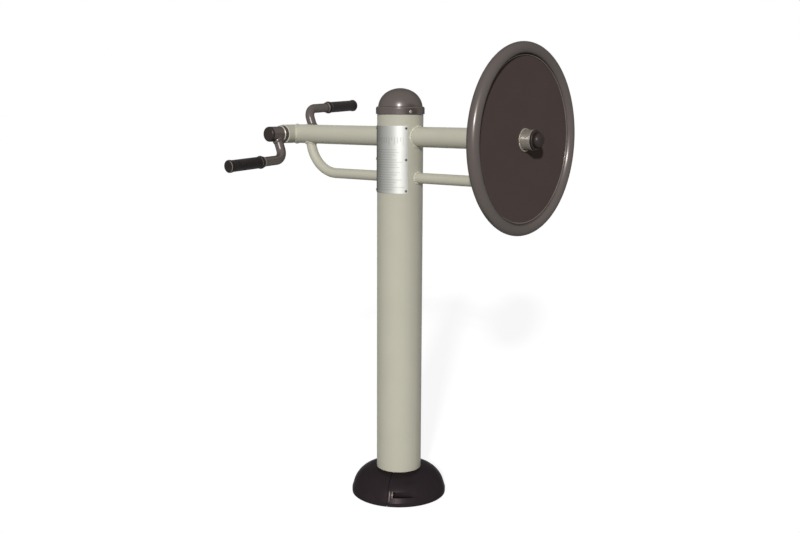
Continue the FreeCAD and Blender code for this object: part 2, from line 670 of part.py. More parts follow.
def make_plate():
    """Thin instruction plate bent round the front of the post, held by rivets."""
    low = "plate_centre - plate_height / 2"
    turn = "-90 - plate_angle"
    sheet_metal = rod("plate_outside", "plate_outer", "plate_height", at(z=low, angle=turn))
    bind(sheet_metal, Angle="2 * plate_angle")
    inside = rod("plate_inside", "plate_inner", "plate_height", at(z=low))
    holes = drills("plate_drill", "rivet_shank", rivet_frames("plate_outer"),
                   "2 * plate_thick", "4 * plate_thick")
    node(cut("plate_cut", sheet_metal, [inside] + holes), "info_plate")
    domed_fastener("plate_rivets", "rivet_shank", "rivet_length", "rivet_head",
                   "rivet_dome", rivet_frames("plate_outer"))


def boot_shoulder(radius):
    """Place where the boot's leaning flank runs into a shoulder of this radius."""
    return f"boot_bore + ({radius}) * cos(boot_lean)", f"boot_middle + ({radius}) * sin(boot_lean)"


def boot_skin(name, frame):
    """Half of the boot's shell: an upright lip, a leaning flank and a rounded shoulder."""
    outline = [
        ("boot_outer - boot_wall", 0),
        ("boot_outer", 0),
        ("boot_outer", "boot_lip"),
        boot_shoulder("boot_round"),
        ("boot_bore", "boot_top", "x"),
        ("boot_bore", "boot_top - boot_wall"),
        (*boot_shoulder("boot_round - boot_wall"), "y"),
        ("boot_outer - boot_wall", "boot_lip - boot_wall * tan(boot_lean / 2)")]
    arcs = {3: ("boot_bore", "boot_middle", False), 5: ("boot_bore", "boot_middle", True)}
    return put(turned(name, outline, arcs, "180"), frame)


def boot_envelope(name, frame):
    """All the space between half of the boot's outside and the post."""
    outline = [
        ("boot_bore", 0),
        ("boot_outer", 0),
        ("boot_outer", "boot_lip"),
        boot_shoulder("boot_round"),
        ("boot_bore", "boot_top", "x")]
    return put(turned(name, outline, {3: ("boot_bore", "boot_middle", False)}, "180"), frame)


def upright_prism(name, points, height, frame):
    """Prism that stands on a plan outline."""
    body = doc.addObject("PartDesign::Body", name)
    sketch = new_sketch(body, name + "_outline", "XY_Plane")
    draw_outline(sketch, points)
    pad = body.newObject("PartDesign::Pad", name + "_pad")
    pad.Profile = sketch
    bind(pad, Length=height)
    return put(body, frame)


def pocket_plan():
    """Plan of the screw pocket, and of the block that it is sunk in, from the seam at y = 0."""
    outside = "boot_outer + pocket_wall"
    ramp_x = "boot_outer * cos(pocket_angle)"
    ramp_y = "boot_outer * sin(pocket_angle)"
    inside = "pocket_floor - pocket_wall"
    space = [
        ("pocket_floor", "pocket_start"), (outside, "pocket_start"),
        (outside, ramp_y), (ramp_x, ramp_y)]
    casing = [
        (inside, 0), (outside, 0), (outside, ramp_y),
        (f"{ramp_x} - pocket_wall", ramp_y), (inside, "pocket_start")]
    return space, casing


def boot_half(label, frame):
    """Half of the boot, with a screw pocket beside one seam and a lug beside the other."""
    space_plan, casing_plan = pocket_plan()
    low = frame + " * " + at(z="pocket_low - pocket_wall")
    tall = "pocket_tall + 2 * pocket_wall"
    casing = upright_prism(label + "_casing", casing_plan, tall, low)
    lug = block(label + "_lug", ("pocket_depth + pocket_wall", "lug_length", tall),
                low + " * " + at("-(boot_outer)"))
    blocks = doc.addObject("Part::Common", label + "_blocks")
    blocks.Base = boot_envelope(label + "_envelope", frame)
    blocks.Tool = group(label + "_block_group", [casing, lug])
    whole = doc.addObject("Part::Fuse", label + "_whole")
    whole.Base = boot_skin(label + "_skin", frame)
    whole.Tool = blocks
    space = upright_prism(label + "_space", space_plan, "pocket_tall",
                          frame + " * " + at(z="pocket_low"))
    bore = "boot_screw_shank / 2 + screw_clearance"
    side = at(z="pocket_middle", axis="1; 0; 0", angle=-90)
    screw_bore = rod(label + "_screw_bore", bore, "pocket_start",
                     frame + " * " + at("boot_screw_radius") + " * " + side)
    lug_bore = rod(label + "_lug_bore", bore, "lug_length",
                   frame + " * " + at("-boot_screw_radius") + " * " + side)
    return cut(label + "_cut", whole, [space, screw_bore, lug_bore])


def make_boot():
    """Rounded cover over the base, in two equal halves drawn together by a screw at each seam."""
    halves = {"boot_wheel_half": "boot_seam - 90", "boot_crank_half": "boot_seam + 90"}
    frames = [at(angle=turn) + " * " + at(y="seam_gap / 2") for turn in halves.values()]
    for label, frame in zip(halves, frames):
        node(boot_half(label, frame), label)
    seat = at("boot_screw_radius", "pocket_start", "pocket_middle", "1; 0; 0", -90)
    domed_fastener("boot_screws", "boot_screw_shank", "boot_screw_length", "boot_screw_head",
                   "boot_screw_dome", [frame + " * " + seat for frame in frames])


def make_arms():
    """Two level arms and the braces below them, each fitted to what it is welded to."""
    post = rod("post_envelope", "weld_radius", "post_top", at())
    shell = rod("shell_envelope", "shell_radius + weld_gap", "2 * shell_length",
                at("-crank_reach", "shell_length", "arm_height", "1; 0; 0", 90))
    arms = (("left_arm_tube", "crank_reach", "brace_reach", -90, [post, shell]),
            ("right_arm_tube", "arm_end", "disc_reach - brace_setback", 90, [post]))
    for label, reach, leg, lean, welds in arms:
        frame = at(z="arm_height", axis="0; 1; 0", angle=lean)
        outside = rod(label + "_outside", "arm_radius", reach, frame)
        inside = rod(label + "_inside", "arm_radius - arm_wall", reach, frame)
        node(cut(label + "_cut", outside, [inside] + welds), label)
        brace = label.replace("arm", "brace")
        arm = rod(label + "_envelope", "arm_radius + weld_gap", reach, frame)
        tube = bent_tube(brace, "brace_outer", "brace_wall", leg, "brace_bend", "90",
                         "brace_height")
        put(tube, at(z="arm_height - brace_height", angle=90 - lean))
        node(cut(brace + "_cut", tube, [post, arm]), brace)


def bearing_rings():
    """Outer and inner ring of the ball bearing, each with the groove that the balls run in."""
    middle = "bearing_width / 2"
    centre = ("pitch_radius", middle, True)
    outer = turned("outer_ring", [
        ("outer_land / 2", 0),
        ("bearing_outer / 2", 0),
        ("bearing_outer / 2", "bearing_width"),
        ("outer_land / 2", "bearing_width"),
        ("outer_land / 2", f"{middle} + outer_groove"),
        ("outer_land / 2", f"{middle} - outer_groove", "x")], {4: centre})
    inner = turned("inner_ring", [
        ("bearing_bore / 2", 0),
        ("inner_land / 2", 0),
        ("inner_land / 2", f"{middle} - inner_groove"),
        ("inner_land / 2", f"{middle} + inner_groove", "x"),
        ("inner_land / 2", "bearing_width"),
        ("bearing_bore / 2", "bearing_width")], {2: centre})
    ball = bind(doc.addObject("Part::Sphere", "ball"), Radius="ball_size / 2")
    return outer, inner, ball


def ball_frames(frames):
    """Places of the balls of several bearings, each given by its frame."""
    count = int(number("ball_count"))
    return [
        frame + " * " + at(angle=f"{index} * 360 / ball_count")
        + " * " + at("pitch_radius", 0, "bearing_width / 2")
        for frame in frames for index in range(count)]


def retaining_ring(label, frames):
    """Open spring ring that keeps a bearing in its seat."""
    master = turned(label, [
        ("clip_radius - clip_ring_play - clip_ring_width", 0),
        ("clip_radius - clip_ring_play", 0),
        ("clip_radius - clip_ring_play", "clip_ring_thick - clip_ring_play"),
        ("clip_radius - clip_ring_play - clip_ring_width", "clip_ring_thick - clip_ring_play")],
        None, "360 - clip_ring_open")
    copies(label, master, frames)


def shaft_seal(label, frames):
    """Rubber ring in the mouth of a bearing seat."""
    master = ring(label, "spigot_outer / 2 + seal_play", "seat_radius - fit_play", "seal_thick")
    copies(label, master, frames)


def make_crank_shell(outer, inner, ball):
    """Shell across the end of the arm, with a bearing, retaining ring and seal at each end."""
    far = "shell_length - "
    shell = turned("crank_shell", [
        ("shell_radius", 0),
        ("shell_radius", "shell_length"),
        ("seat_radius", "shell_length"),
        ("seat_radius", far + "clip_start"),
        ("clip_radius", far + "clip_start"),
        ("clip_radius", far + "bearing_start"),
        ("seat_radius", far + "bearing_start"),
        ("seat_radius", far + "seat_depth"),
        ("shell_bore / 2", far + "seat_depth"),
        ("shell_bore / 2", "seat_depth"),
        ("seat_radius", "seat_depth"),
        ("seat_radius", "bearing_start"),
        ("clip_radius", "bearing_start"),
        ("clip_radius", "clip_start"),
        ("seat_radius", "clip_start"),
        ("seat_radius", 0)])
    node(put(shell, along_axle("near", "-shell_half")), "crank_shell")
    seats = [along_axle(side, "shoulder_half") for side in SIDES]
    copies("crank_bearing_outer_rings", outer, seats)
    copies("crank_bearing_inner_rings", inner, seats)
    copies("crank_bearing_balls", ball, ball_frames(seats))
    retaining_ring("crank_retaining_rings", [along_axle(side, "ring_face") for side in SIDES])
    shaft_seal("crank_shaft_seals",
               [along_axle(side, "shell_half - seal_space - seal_thick") for side in SIDES])


def key_slot(name, side, play):
    """Space of a key, or the key itself when there is no play."""
    frame = SIDES[side] + " * " + at(
        f"-key_width / 2 - {play}", f"-key_start - key_length - {play}", f"key_base - {play}")
    size = (f"key_width + 2 * {play}", f"key_length + 2 * {play}", f"key_height + 2 * {play}")
    return block(name, size, frame)


def make_crank_axle():
    """Axle through the shell, thick between its bearings, with a key, bolt and washer per end."""
    middle = "axle_half"
    axle = turned("crank_axle", [
        (0, "bolt_depth"),
        ("bolt_hole", "bolt_depth"),
        ("bolt_hole", 0),
        ("journal_radius", 0),
        ("journal_radius", f"{middle} - shoulder_half"),
        ("axle_shoulder / 2", f"{middle} - shoulder_half"),
        ("axle_shoulder / 2", f"{middle} + shoulder_half"),
        ("journal_radius", f"{middle} + shoulder_half"),
        ("journal_radius", "2 * axle_half"),
        ("bolt_hole", "2 * axle_half"),
        ("bolt_hole", "2 * axle_half - bolt_depth"),
        (0, "2 * axle_half - bolt_depth")])
    put(axle, along_axle("near", "-axle_half"))
    slots = [key_slot(f"{side}_axle_slot", side, "key_play") for side in SIDES]
    node(cut("crank_axle_cut", axle, slots), "crank_axle")
    keys = [key_slot(f"{side}_key", side, "0") for side in SIDES]
    node(group("keys_group", keys), "crank_keys")
    washer = ring("hub_washer", "hub_bolt / 2 + screw_clearance", "bolt_washer / 2",
                  "bolt_washer_thick")
    copies("crank_hub_washers", washer, [along_axle(side, "hub_face + hub_seat") for side in SIDES])
    bolts = [
        hex_bolt(f"{side}_hub_bolt", along_axle(side, "hub_face + hub_seat + bolt_washer_thick"))
        for side in SIDES]
    node(group("hub_bolts_group", bolts), "crank_hub_bolts")


def hexagon(name, flats, height, frame):
    """Six-sided prism with a given width across its flats."""
    prism = doc.addObject("Part::Prism", name)
    prism.Polygon = 6
    bind(prism, Circumradius=f"({flats}) / 2 / cos(30)", Height=height)
    return put(prism, frame)


def hex_bolt(name, frame):
    """Bolt whose head stands on the frame's origin and whose shank goes back into the axle."""
    head = hexagon(name + "_head", "hub_bolt_flats", "hub_bolt_head", frame)
    length = "hub_bolt_length + bolt_washer_thick"
    shank = rod(name + "_shank", "hub_bolt / 2", length, frame + " * " + at(0, 0, f"-({length})"))
    bolt = doc.addObject("Part::Fuse", name)
    bolt.Base = head
    bolt.Tool = shank
    return bolt


def make_crank_side(side):
    """Dust collar, hub, plug and bent tube at one end of the crank axle."""
    bore = "bearing_bore / 2 + shaft_play"
    spigot = "collar_face - ring_face"
    width = f"{spigot} + collar_thick"
    collar = turned(side + "_collar", [
        (bore, 0),
        ("spigot_outer / 2", 0),
        ("spigot_outer / 2", spigot),
        ("collar_outer / 2", spigot),
        ("collar_outer / 2", f"{width} - collar_bevel"),
        ("collar_outer / 2 - collar_bevel", width),
        (bore, width)])
    node(put(collar, along_axle(side, "ring_face")), side + "_dust_collar")
    hub = turned(side + "_hub", [
        (bore, 0),
        ("hub_outer / 2", 0),
        ("hub_outer / 2", "hub_length"),
        ("hub_recess / 2", "hub_length"),
        ("hub_recess / 2", "hub_seat"),
        (bore, "hub_seat")])
    put(hub, along_axle(side, "hub_face"))
    slot = key_slot(side + "_hub_slot", side, "key_play")
    node(cut(side + "_hub_cut", hub, [slot]), side + "_crank_hub")
    make_hub_plug(side)
    tube = bent_tube(side + "_crank", "crank_tube", "crank_tube_wall", "crank_throw", "crank_bend",
                     "90 - handle_splay", "handle_run")
    lay = at(0, "-tube_plane", 0, "0; 0; 1", -90) + " * " + at(axis="0; 1; 0", angle=90)
    put(tube, SIDES[side] + " * " + lay)
    envelope = rod(side + "_hub_envelope", "hub_outer / 2 + weld_gap", "hub_length",
                   along_axle(side, "hub_face"))
    node(cut(side + "_crank_cut", tube, [envelope]), side + "_crank_tube")


def make_hub_plug(side):
    """Black plug that closes the outer end of a crank hub."""
    skirt = "hub_recess / 2 - plug_play"
    top = "plug_depth + plug_thick"
    plug = turned(side + "_plug", [
        (f"{skirt} - plug_wall", 0),
        (skirt, 0),
        (skirt, "plug_depth"),
        ("hub_outer / 2", "plug_depth"),
        ("hub_outer / 2", f"{top} - plug_round"),
        ("hub_outer / 2 - plug_round", top, "x"),
        (0, top),
        (0, "plug_depth"),
        (f"{skirt} - plug_wall", "plug_depth")],
        {4: ("hub_outer / 2 - plug_round", f"{top} - plug_round", False)})
    frame = along_axle(side, "hub_face + hub_length - plug_depth")
    node(put(plug, frame), side + "_hub_plug")


def make_handle(side):
    """Pin in the crank tube's end, thrust ring, and the grip on its sleeve that turns on the pin."""
    plug = "pin_plug"
    journal = "pin_plug + pin_end - handle_run"
    pin = turned(side + "_pin", [
        (0, 0),
        ("crank_bore - fit_play", 0),
        ("crank_bore - fit_play", plug),
        ("pin_size / 2", plug),
        ("pin_size / 2", journal),
        ("screw_hole", journal),
        ("screw_hole", f"{journal} - grip_screw_length"),
        (0, f"{journal} - grip_screw_length")])
    node(put(pin, along_handle(side, "handle_run - pin_plug")), side + "_handle_pin")
    bore = "pin_size / 2 + sleeve_play"
    thrust = turned(side + "_ring", [
        (bore, 0),
        ("ring_outer / 2 - ring_bevel", 0),
        ("ring_outer / 2", "ring_bevel"),
        ("ring_outer / 2", "ring_thick - ring_bevel"),
        ("ring_outer / 2 - ring_bevel", "ring_thick"),
        (bore, "ring_thick")])
    node(put(thrust, along_handle(side, "handle_run")), side + "_thrust_ring")
    sleeve = ring(side + "_sleeve", bore, "sleeve_outer / 2", "sleeve_length")
    node(put(sleeve, along_handle(side, "sleeve_start")), side + "_grip_sleeve")
    make_grip(side)


def make_grip(side):
    """Rubber grip, closed at its free end, with a flange at one end and a bead at the other."""
    bore = "sleeve_outer / 2 + fit_play"
    flange = "grip_flange / 2"
    bead = "grip_end / 2"
    bead_start = "grip_length - grip_end_thick"
    grip = turned(side + "_grip", [
        (bore, 0),
        (f"{flange} - grip_flange_round", 0),
        (flange, "grip_flange_round", "y"),
        (flange, "grip_flange_thick - grip_flange_round"),
        (f"{flange} - grip_flange_round", "grip_flange_thick", "x"),
        ("grip_outer / 2", "grip_flange_thick"),
        ("grip_outer / 2", bead_start),
        (bead, f"{bead_start} + grip_end / 2 - grip_outer / 2"),
        (bead, "grip_length - grip_round"),
        (f"{bead} - grip_round", "grip_length", "x"),
        (0, "grip_length"),
        (0, "grip_length - grip_end_wall"),
        (bore, "grip_length - grip_end_wall")],
        {1: (f"{flange} - grip_flange_round", "grip_flange_round", False),
         3: (f"{flange} - grip_flange_round", "grip_flange_thick - grip_flange_round", False),
         8: (f"{bead} - grip_round", "grip_length - grip_round", False)})
    node(put(grip, along_handle(side, "sleeve_start")), side + "_grip")


def make_grip_fasteners():
    """Washer and screw that keep each grip's sleeve on its pin, hidden in the grip's closed end."""
    washer = ring("grip_washer", "grip_screw / 2 + screw_clearance", "grip_washer / 2",
                  "grip_washer_thick")
    copies("grip_washers", washer, [along_handle(side, "pin_end") for side in SIDES])
    shank = "grip_screw_length - grip_play"
    head = f"{shank} + grip_screw_head_tall"
    screw = turned("grip_screw", [
        (0, 0),
        ("grip_screw / 2", 0),
        ("grip_screw / 2", shank),
        ("grip_screw_head / 2", shank),
        ("grip_screw_head / 2", head),
        (0, head)])
    start = f"pin_end + grip_washer_thick - ({shank})"
    copies("grip_screws", screw, [along_handle(side, start) for side in SIDES])


def make_wheel_axle(inner):
    """Fixed axle in the wheel arm's end, with the rings, spacer, washer and nut that it carries."""
    plug_bore = "journal_radius + shaft_play"
    tube_bore = "arm_radius - arm_wall - arm_plug_play"
    plug = turned("arm_plug", [
        (plug_bore, 0),
        (tube_bore, 0),
        (tube_bore, "arm_plug_depth"),
        ("arm_radius", "arm_plug_depth"),
        ("arm_radius", "arm_plug_depth + arm_plug_flange"),
        (plug_bore, "arm_plug_depth + arm_plug_flange")])
    node(put(plug, along_arm("arm_end - arm_plug_depth")), "arm_end_plug")
    axle = turned("wheel_axle", [
        (0, 0),
        ("journal_radius", 0),
        ("journal_radius", "arm_plug_face - axle_start"),
        ("spigot_outer / 2", "arm_plug_face - axle_start"),
        ("spigot_outer / 2", "rear_ring - axle_start"),
        ("journal_radius", "rear_ring - axle_start"),
        ("journal_radius", "front_face - axle_start"),
        ("axle_thread / 2", "front_face - axle_start"),
        ("axle_thread / 2", "axle_tip - axle_start"),
        (0, "axle_tip - axle_start")])
    node(put(axle, along_arm("axle_start")), "wheel_axle")
    copies("wheel_bearing_inner_rings", inner, [along_arm("rear_ring"), along_arm("front_ring")])
    spacer = ring("wheel_spacer", "bearing_bore / 2 + shaft_play", "spigot_outer / 2",
                  "front_ring - rear_ring - bearing_width")
    node(put(spacer, along_arm("rear_ring + bearing_width")), "wheel_bearing_spacer")
    washer = ring("axle_washer", "axle_thread / 2 + screw_clearance", "axle_washer / 2",
                  "axle_washer_thick")
    node(put(washer, along_arm("front_face")), "wheel_axle_washer")
    frame = along_arm("nut_start")
    nut = hexagon("nut_blank", "axle_nut_flats", "axle_nut_thick", frame)
    hole = rod("nut_hole", "axle_thread / 2 + thread_play", "axle_nut_thick", frame)
    node(cut("nut_cut", nut, [hole]), "wheel_axle_nut")


def make_wheel(outer, ball):
    """Plate in a tubular rim, welded round a hub that turns on two bearings."""
    along = along_arm("disc_hub_back")
    length = "disc_hub_length"
    hub = turned("wheel_hub", [
        ("seat_radius", 0),
        ("disc_hub_radius - disc_hub_edge", 0),
        ("disc_hub_radius", "disc_hub_edge"),
        ("disc_hub_radius", f"{length} - disc_hub_edge"),
        ("disc_hub_radius - disc_hub_edge", length),
        ("seat_radius", length),
        ("seat_radius", f"{length} - clip_start"),
        ("clip_radius", f"{length} - clip_start"),
        ("clip_radius", f"{length} - bearing_start"),
        ("seat_radius", f"{length} - bearing_start"),
        ("seat_radius", f"{length} - seat_depth"),
        ("disc_hub_bore / 2", f"{length} - seat_depth"),
        ("disc_hub_bore / 2", "seat_depth"),
        ("seat_radius", "seat_depth")])
    node(put(hub, along), "wheel_hub")
    plate = ring("wheel_plate", "disc_hub_radius + weld_gap", "rim_radius - rim_tube / 2 - weld_gap",
                 "disc_thick")
    node(put(plate, along_arm("disc_reach - disc_thick / 2")), "wheel_plate")
    make_rim()
    copies("wheel_bearing_outer_rings", outer, [along_arm("rear_ring"), along_arm("front_ring")])
    copies("wheel_bearing_balls", ball, ball_frames([along_arm("rear_ring"), along_arm("front_ring")]))
    retaining_ring("wheel_retaining_ring", [along_arm("front_face")])
    shaft_seal("wheel_shaft_seal", [along_arm("disc_hub_back + seal_space")])
    make_wheel_cap()


def make_rim():
    """Tubular rim, hollow, with a vent hole at its rear side."""
    frame = along_arm("disc_reach")
    outside = doc.addObject("Part::Torus", "rim_outside")
    put(bind(outside, Radius1="rim_radius", Radius2="rim_tube / 2"), frame)
    inside = doc.addObject("Part::Torus", "rim_inside")
    put(bind(inside, Radius1="rim_radius", Radius2="rim_tube / 2 - rim_wall"), frame)
    vent = rod("rim_vent_drill", "rim_vent / 2", "rim_tube",
               frame + " * " + at("rim_radius", 0, "-rim_tube"))
    node(cut("rim_cut", outside, [inside, vent]), "wheel_rim")


def make_wheel_cap():
    """Black cap with a flange on the hub's end and a hollow button over the axle's nut."""
    face = "disc_cap_depth + disc_cap_thick"
    top = "button_face"
    skirt = "seat_radius - plug_play"
    room = "disc_button / 2 - disc_cap_wall"
    cap = turned("wheel_cap", [
        (f"{skirt} - disc_cap_wall", 0),
        (skirt, 0),
        (skirt, "disc_cap_depth"),
        ("disc_cap_flange / 2", "disc_cap_depth"),
        ("disc_cap_flange / 2", f"{face} - disc_cap_round"),
        ("disc_cap_flange / 2 - disc_cap_round", face, "x"),
        ("disc_button / 2", face),
        ("disc_button / 2", f"{top} - disc_button_round"),
        ("disc_button / 2 - disc_button_round", top, "x"),
        (0, top),
        (0, f"{top} - disc_cap_wall"),
        (room, f"{top} - disc_cap_wall - disc_button_round / 2"),
        (room, "disc_cap_depth"),
        (f"{skirt} - disc_cap_wall", "disc_cap_depth")],
        {4: ("disc_cap_flange / 2 - disc_cap_round", f"{face} - disc_cap_round", False),
         7: ("disc_button / 2 - disc_button_round", f"{top} - disc_button_round", False)})
    node(put(cap, along_arm("disc_hub_face - disc_cap_depth")), "wheel_hub_cap")


def check_pieces():
    """Stop if any object failed, or any piece has no valid solid."""
    for item in doc.Objects:
        bad = [state for state in item.State if state in ("Invalid", "Error")]
        if bad:
            raise RuntimeError(f"{item.Name} failed: {bad}")
    for item in nodes:
        shape = item.Shape
        if shape.isNull() or not shape.isValid() or not shape.Solids:
            raise RuntimeError(f"{item.Label} has no valid solid")


def write_pieces():
    """Write each piece to its own file."""
    os.makedirs("parts", exist_ok=True)
    for item in nodes:
        item.Shape.exportStep(f"parts/{item.Label}.step")
        print(f"{item.Label}: {len(item.Shape.Solids)} solids, {item.Shape.Volume:.0f} mm3")


def main():
    """Build the station piece by piece, check it and write it."""
    fill_sheet()
    make_base()
    make_post()
    make_cap()
    make_plate()
    make_boot()
    make_arms()
    outer, inner, ball = bearing_rings()
    make_crank_shell(outer, inner, ball)
    make_crank_axle()
    for side in SIDES:
        make_crank_side(side)
        make_handle(side)
    make_grip_fasteners()
    make_wheel_axle(inner)
    make_wheel(outer, ball)
    doc.recompute()
    check_pieces()
    write_pieces()


main()
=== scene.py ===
"""Looks of the outdoor arm cycle station: finishes, weld beads, fasteners, ribs and the stage."""
import json
import math

import bpy
from bpy.props import FloatProperty, FloatVectorProperty, IntProperty, PointerProperty
from mathutils import Matrix, Vector


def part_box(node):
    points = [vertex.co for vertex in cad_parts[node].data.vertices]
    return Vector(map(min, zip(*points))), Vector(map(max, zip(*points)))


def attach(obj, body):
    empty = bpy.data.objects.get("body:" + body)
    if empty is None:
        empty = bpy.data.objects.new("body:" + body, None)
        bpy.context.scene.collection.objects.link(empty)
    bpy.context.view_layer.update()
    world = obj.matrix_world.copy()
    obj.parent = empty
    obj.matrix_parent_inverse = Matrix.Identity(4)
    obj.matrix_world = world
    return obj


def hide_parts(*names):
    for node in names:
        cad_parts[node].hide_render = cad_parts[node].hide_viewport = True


bl_info = {
    "name": "Arm Cycle Station",
    "version": (1, 0, 0),
    "blender": (4, 5, 0),
    "location": "3D View > Sidebar > Arm Cycle",
    "description": "Dresses the packed arm cycle station and sets its stage",
    "category": "Object",
}

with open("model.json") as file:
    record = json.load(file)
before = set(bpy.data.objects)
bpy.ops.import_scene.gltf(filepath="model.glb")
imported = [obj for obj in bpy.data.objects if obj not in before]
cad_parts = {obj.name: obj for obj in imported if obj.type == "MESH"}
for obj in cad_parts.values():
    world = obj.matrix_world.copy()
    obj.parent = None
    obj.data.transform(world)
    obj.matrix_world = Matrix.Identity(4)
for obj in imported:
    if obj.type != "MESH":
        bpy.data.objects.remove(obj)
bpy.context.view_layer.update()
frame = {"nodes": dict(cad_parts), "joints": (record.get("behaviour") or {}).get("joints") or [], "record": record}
NODES = frame["nodes"]
JOINTS = {joint["name"]: joint for joint in frame["joints"]}
X_AXIS, Y_AXIS, Z_AXIS = Vector((1, 0, 0)), Vector((0, 1, 0)), Vector((0, 0, 1))

# Values that most of a noise lies between
NOISE_LOW, NOISE_HIGH = 0.3, 0.7
# Clear coat over the metallic coats
COAT_ROUGH, COAT_IOR = 0.26, 2.6
# Turned grooves along a metre of the wheel's hub
GROOVES = 1250.0
# Diamonds of the grips' pattern: round a grip, and as an angle along a metre of it
DIAMONDS_ROUND, DIAMONDS_ALONG = 36.0, 1900.0
# Printed marks of the plate: rows in its height, and columns in half of its width
PRINT_ROWS, PRINT_COLUMNS = 27.0, 8.0
# Width of the camera's frame in millimetres
SENSOR = 36.0


class StationSizes(bpy.types.PropertyGroup):
    """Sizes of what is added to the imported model."""

    weld_bead: FloatProperty(
        name="Weld bead", description="Radius of the beads round the stand's tubes",
        default=0.0032, unit="LENGTH")
    weld_pitch: FloatProperty(
        name="Weld ripple", description="Length of one ripple along a bead",
        default=0.0055, unit="LENGTH")
    crank_bead: FloatProperty(
        name="Crank bead",
        description="Radius of the beads at the crank's shell and inside the rim",
        default=0.0024, unit="LENGTH")
    hub_bead: FloatProperty(
        name="Hub bead", description="Radius of the smooth beads between crank tubes and hubs",
        default=0.0045, unit="LENGTH")
    crank_tube: FloatProperty(
        name="Crank tube", description="Radius of the tube that a bead on the crank goes round",
        default=0.015, unit="LENGTH")
    screw_recess: FloatProperty(
        name="Screw recess", description="Depth of the cross in a screw's head",
        default=0.0015, unit="LENGTH")
    cap_screw_angle: FloatProperty(
        name="Cap screw", description="First cap screw, turned from the front towards the wheel",
        default=math.radians(63.0), subtype="ANGLE")
    cap_screw_count: IntProperty(
        name="Cap screws", description="Screws round the cap's band", default=2)
    rivet_head: FloatProperty(
        name="Rivet head", description="Radius of a rivet's head", default=0.00385, unit="LENGTH")
    rivet_angle: FloatProperty(
        name="Plate rivets", description="Rivets to each side of the front",
        default=math.radians(52.8), subtype="ANGLE")
    plate_wrap: FloatProperty(
        name="Plate wrap", description="Plate to each side of the front",
        default=math.radians(57.5), subtype="ANGLE")
    rib_radius: FloatProperty(
        name="Boot rib", description="Radius of the upright ribs beside the boot's pockets",
        default=0.0016, unit="LENGTH")
    seam_rib: FloatProperty(
        name="Seam rib", description="Rib beside the boot's seam, out from the seam",
        default=0.0062, unit="LENGTH")
    pocket_rib: FloatProperty(
        name="Pocket rib", description="Rib at the pocket's upright edge, out from the seam",
        default=0.0155, unit="LENGTH")
    seam_rib_foot: FloatProperty(
        name="Seam rib foot", description="Lower end of the rib beside the boot's seam",
        default=0.016, unit="LENGTH")
    seam_rib_top: FloatProperty(
        name="Seam rib top", description="Upper end of the rib beside the boot's seam",
        default=0.046, unit="LENGTH")
    pocket_rib_foot: FloatProperty(
        name="Pocket rib foot", description="Lower end of the rib at the pocket's edge",
        default=0.0255, unit="LENGTH")
    pocket_rib_top: FloatProperty(
        name="Pocket rib top", description="Upper end of the rib at the pocket's edge",
        default=0.0455, unit="LENGTH")
    # Half widths and place of the paler rings at the edges of the shell, collars and thrust rings: worn paint,
    # partly painted highlight
    shell_wear_and_glint: FloatProperty(
        name="Shell wear", description="Half width of the worn rings at the shell's ends",
        default=0.0009, unit="LENGTH")
    collar_wear_and_glint: FloatProperty(
        name="Collar wear", description="Half width of the worn ring on a dust collar",
        default=0.0016, unit="LENGTH")
    ring_wear_and_glint: FloatProperty(
        name="Ring wear", description="Half width of the worn ring on a thrust ring",
        default=0.0012, unit="LENGTH")
    ring_line: FloatProperty(
        name="Ring line", description="Worn ring from the thrust ring's inner end",
        default=0.0026, unit="LENGTH")
    boot_seam: FloatProperty(
        name="Boot seam", description="Front seam of the boot, turned towards the wheel",
        default=math.radians(24.4), subtype="ANGLE")


class StationColours(bpy.types.PropertyGroup):
    """Colours of the finishes."""

    stand: FloatVectorProperty(
        name="Stand", description="Powder coat of the post, arms and braces",
        subtype="COLOR", default=(0.533, 0.515, 0.420))
    brown: FloatVectorProperty(
        name="Brown", description="Metallic coat of the cap, crank and wheel",
        subtype="COLOR", default=(0.108, 0.088, 0.079))
    sheet: FloatVectorProperty(
        name="Sheet", description="Dull coat of the wheel's sheet",
        subtype="COLOR", default=(0.102, 0.076, 0.071))
    boss: FloatVectorProperty(
        name="Boss", description="Wheel hub, rubbed nearly bare",
        subtype="COLOR", default=(0.32, 0.287, 0.245))
    plastic: FloatVectorProperty(
        name="Plastic", description="Moulded boot",
        subtype="COLOR", default=(0.026, 0.0202, 0.0218))
    caps: FloatVectorProperty(
        name="Caps", description="Plugs of the crank's hubs and cap of the wheel's hub",
        subtype="COLOR", default=(0.045, 0.0365, 0.0345))
    rubber: FloatVectorProperty(
        name="Rubber", description="Grips and seals",
        subtype="COLOR", default=(0.010, 0.0065, 0.0065))
    # Colour of the painted highlight beside a grip's beads
    dust: FloatVectorProperty(
        name="Dust", description="Dust in the grooves at a grip's ends",
        subtype="COLOR", default=(0.20, 0.17, 0.145))
    plate: FloatVectorProperty(
        name="Plate", description="Brushed instruction plate",
        subtype="COLOR", default=(0.55, 0.55, 0.52))
    steel: FloatVectorProperty(
        name="Steel", description="Axles, bearings and fasteners",
        subtype="COLOR", default=(0.52, 0.51, 0.49))
    # Paler rings at the crank shell's ends: worn paint and painted highlight
    worn_paint_and_glint: FloatVectorProperty(
        name="Worn paint", description="Edges of the crank's shell",
        subtype="COLOR", default=(0.66, 0.64, 0.57))
    # Paler rings on the dust collars and thrust rings: bare metal and painted highlight
    worn_metal_and_glint: FloatVectorProperty(
        name="Worn metal", description="Bare edges of the dust collars and thrust rings",
        subtype="COLOR", default=(0.52, 0.48, 0.41))
    nylon: FloatVectorProperty(
        name="Nylon", description="Sleeves inside the grips",
        subtype="COLOR", default=(0.62, 0.60, 0.53))


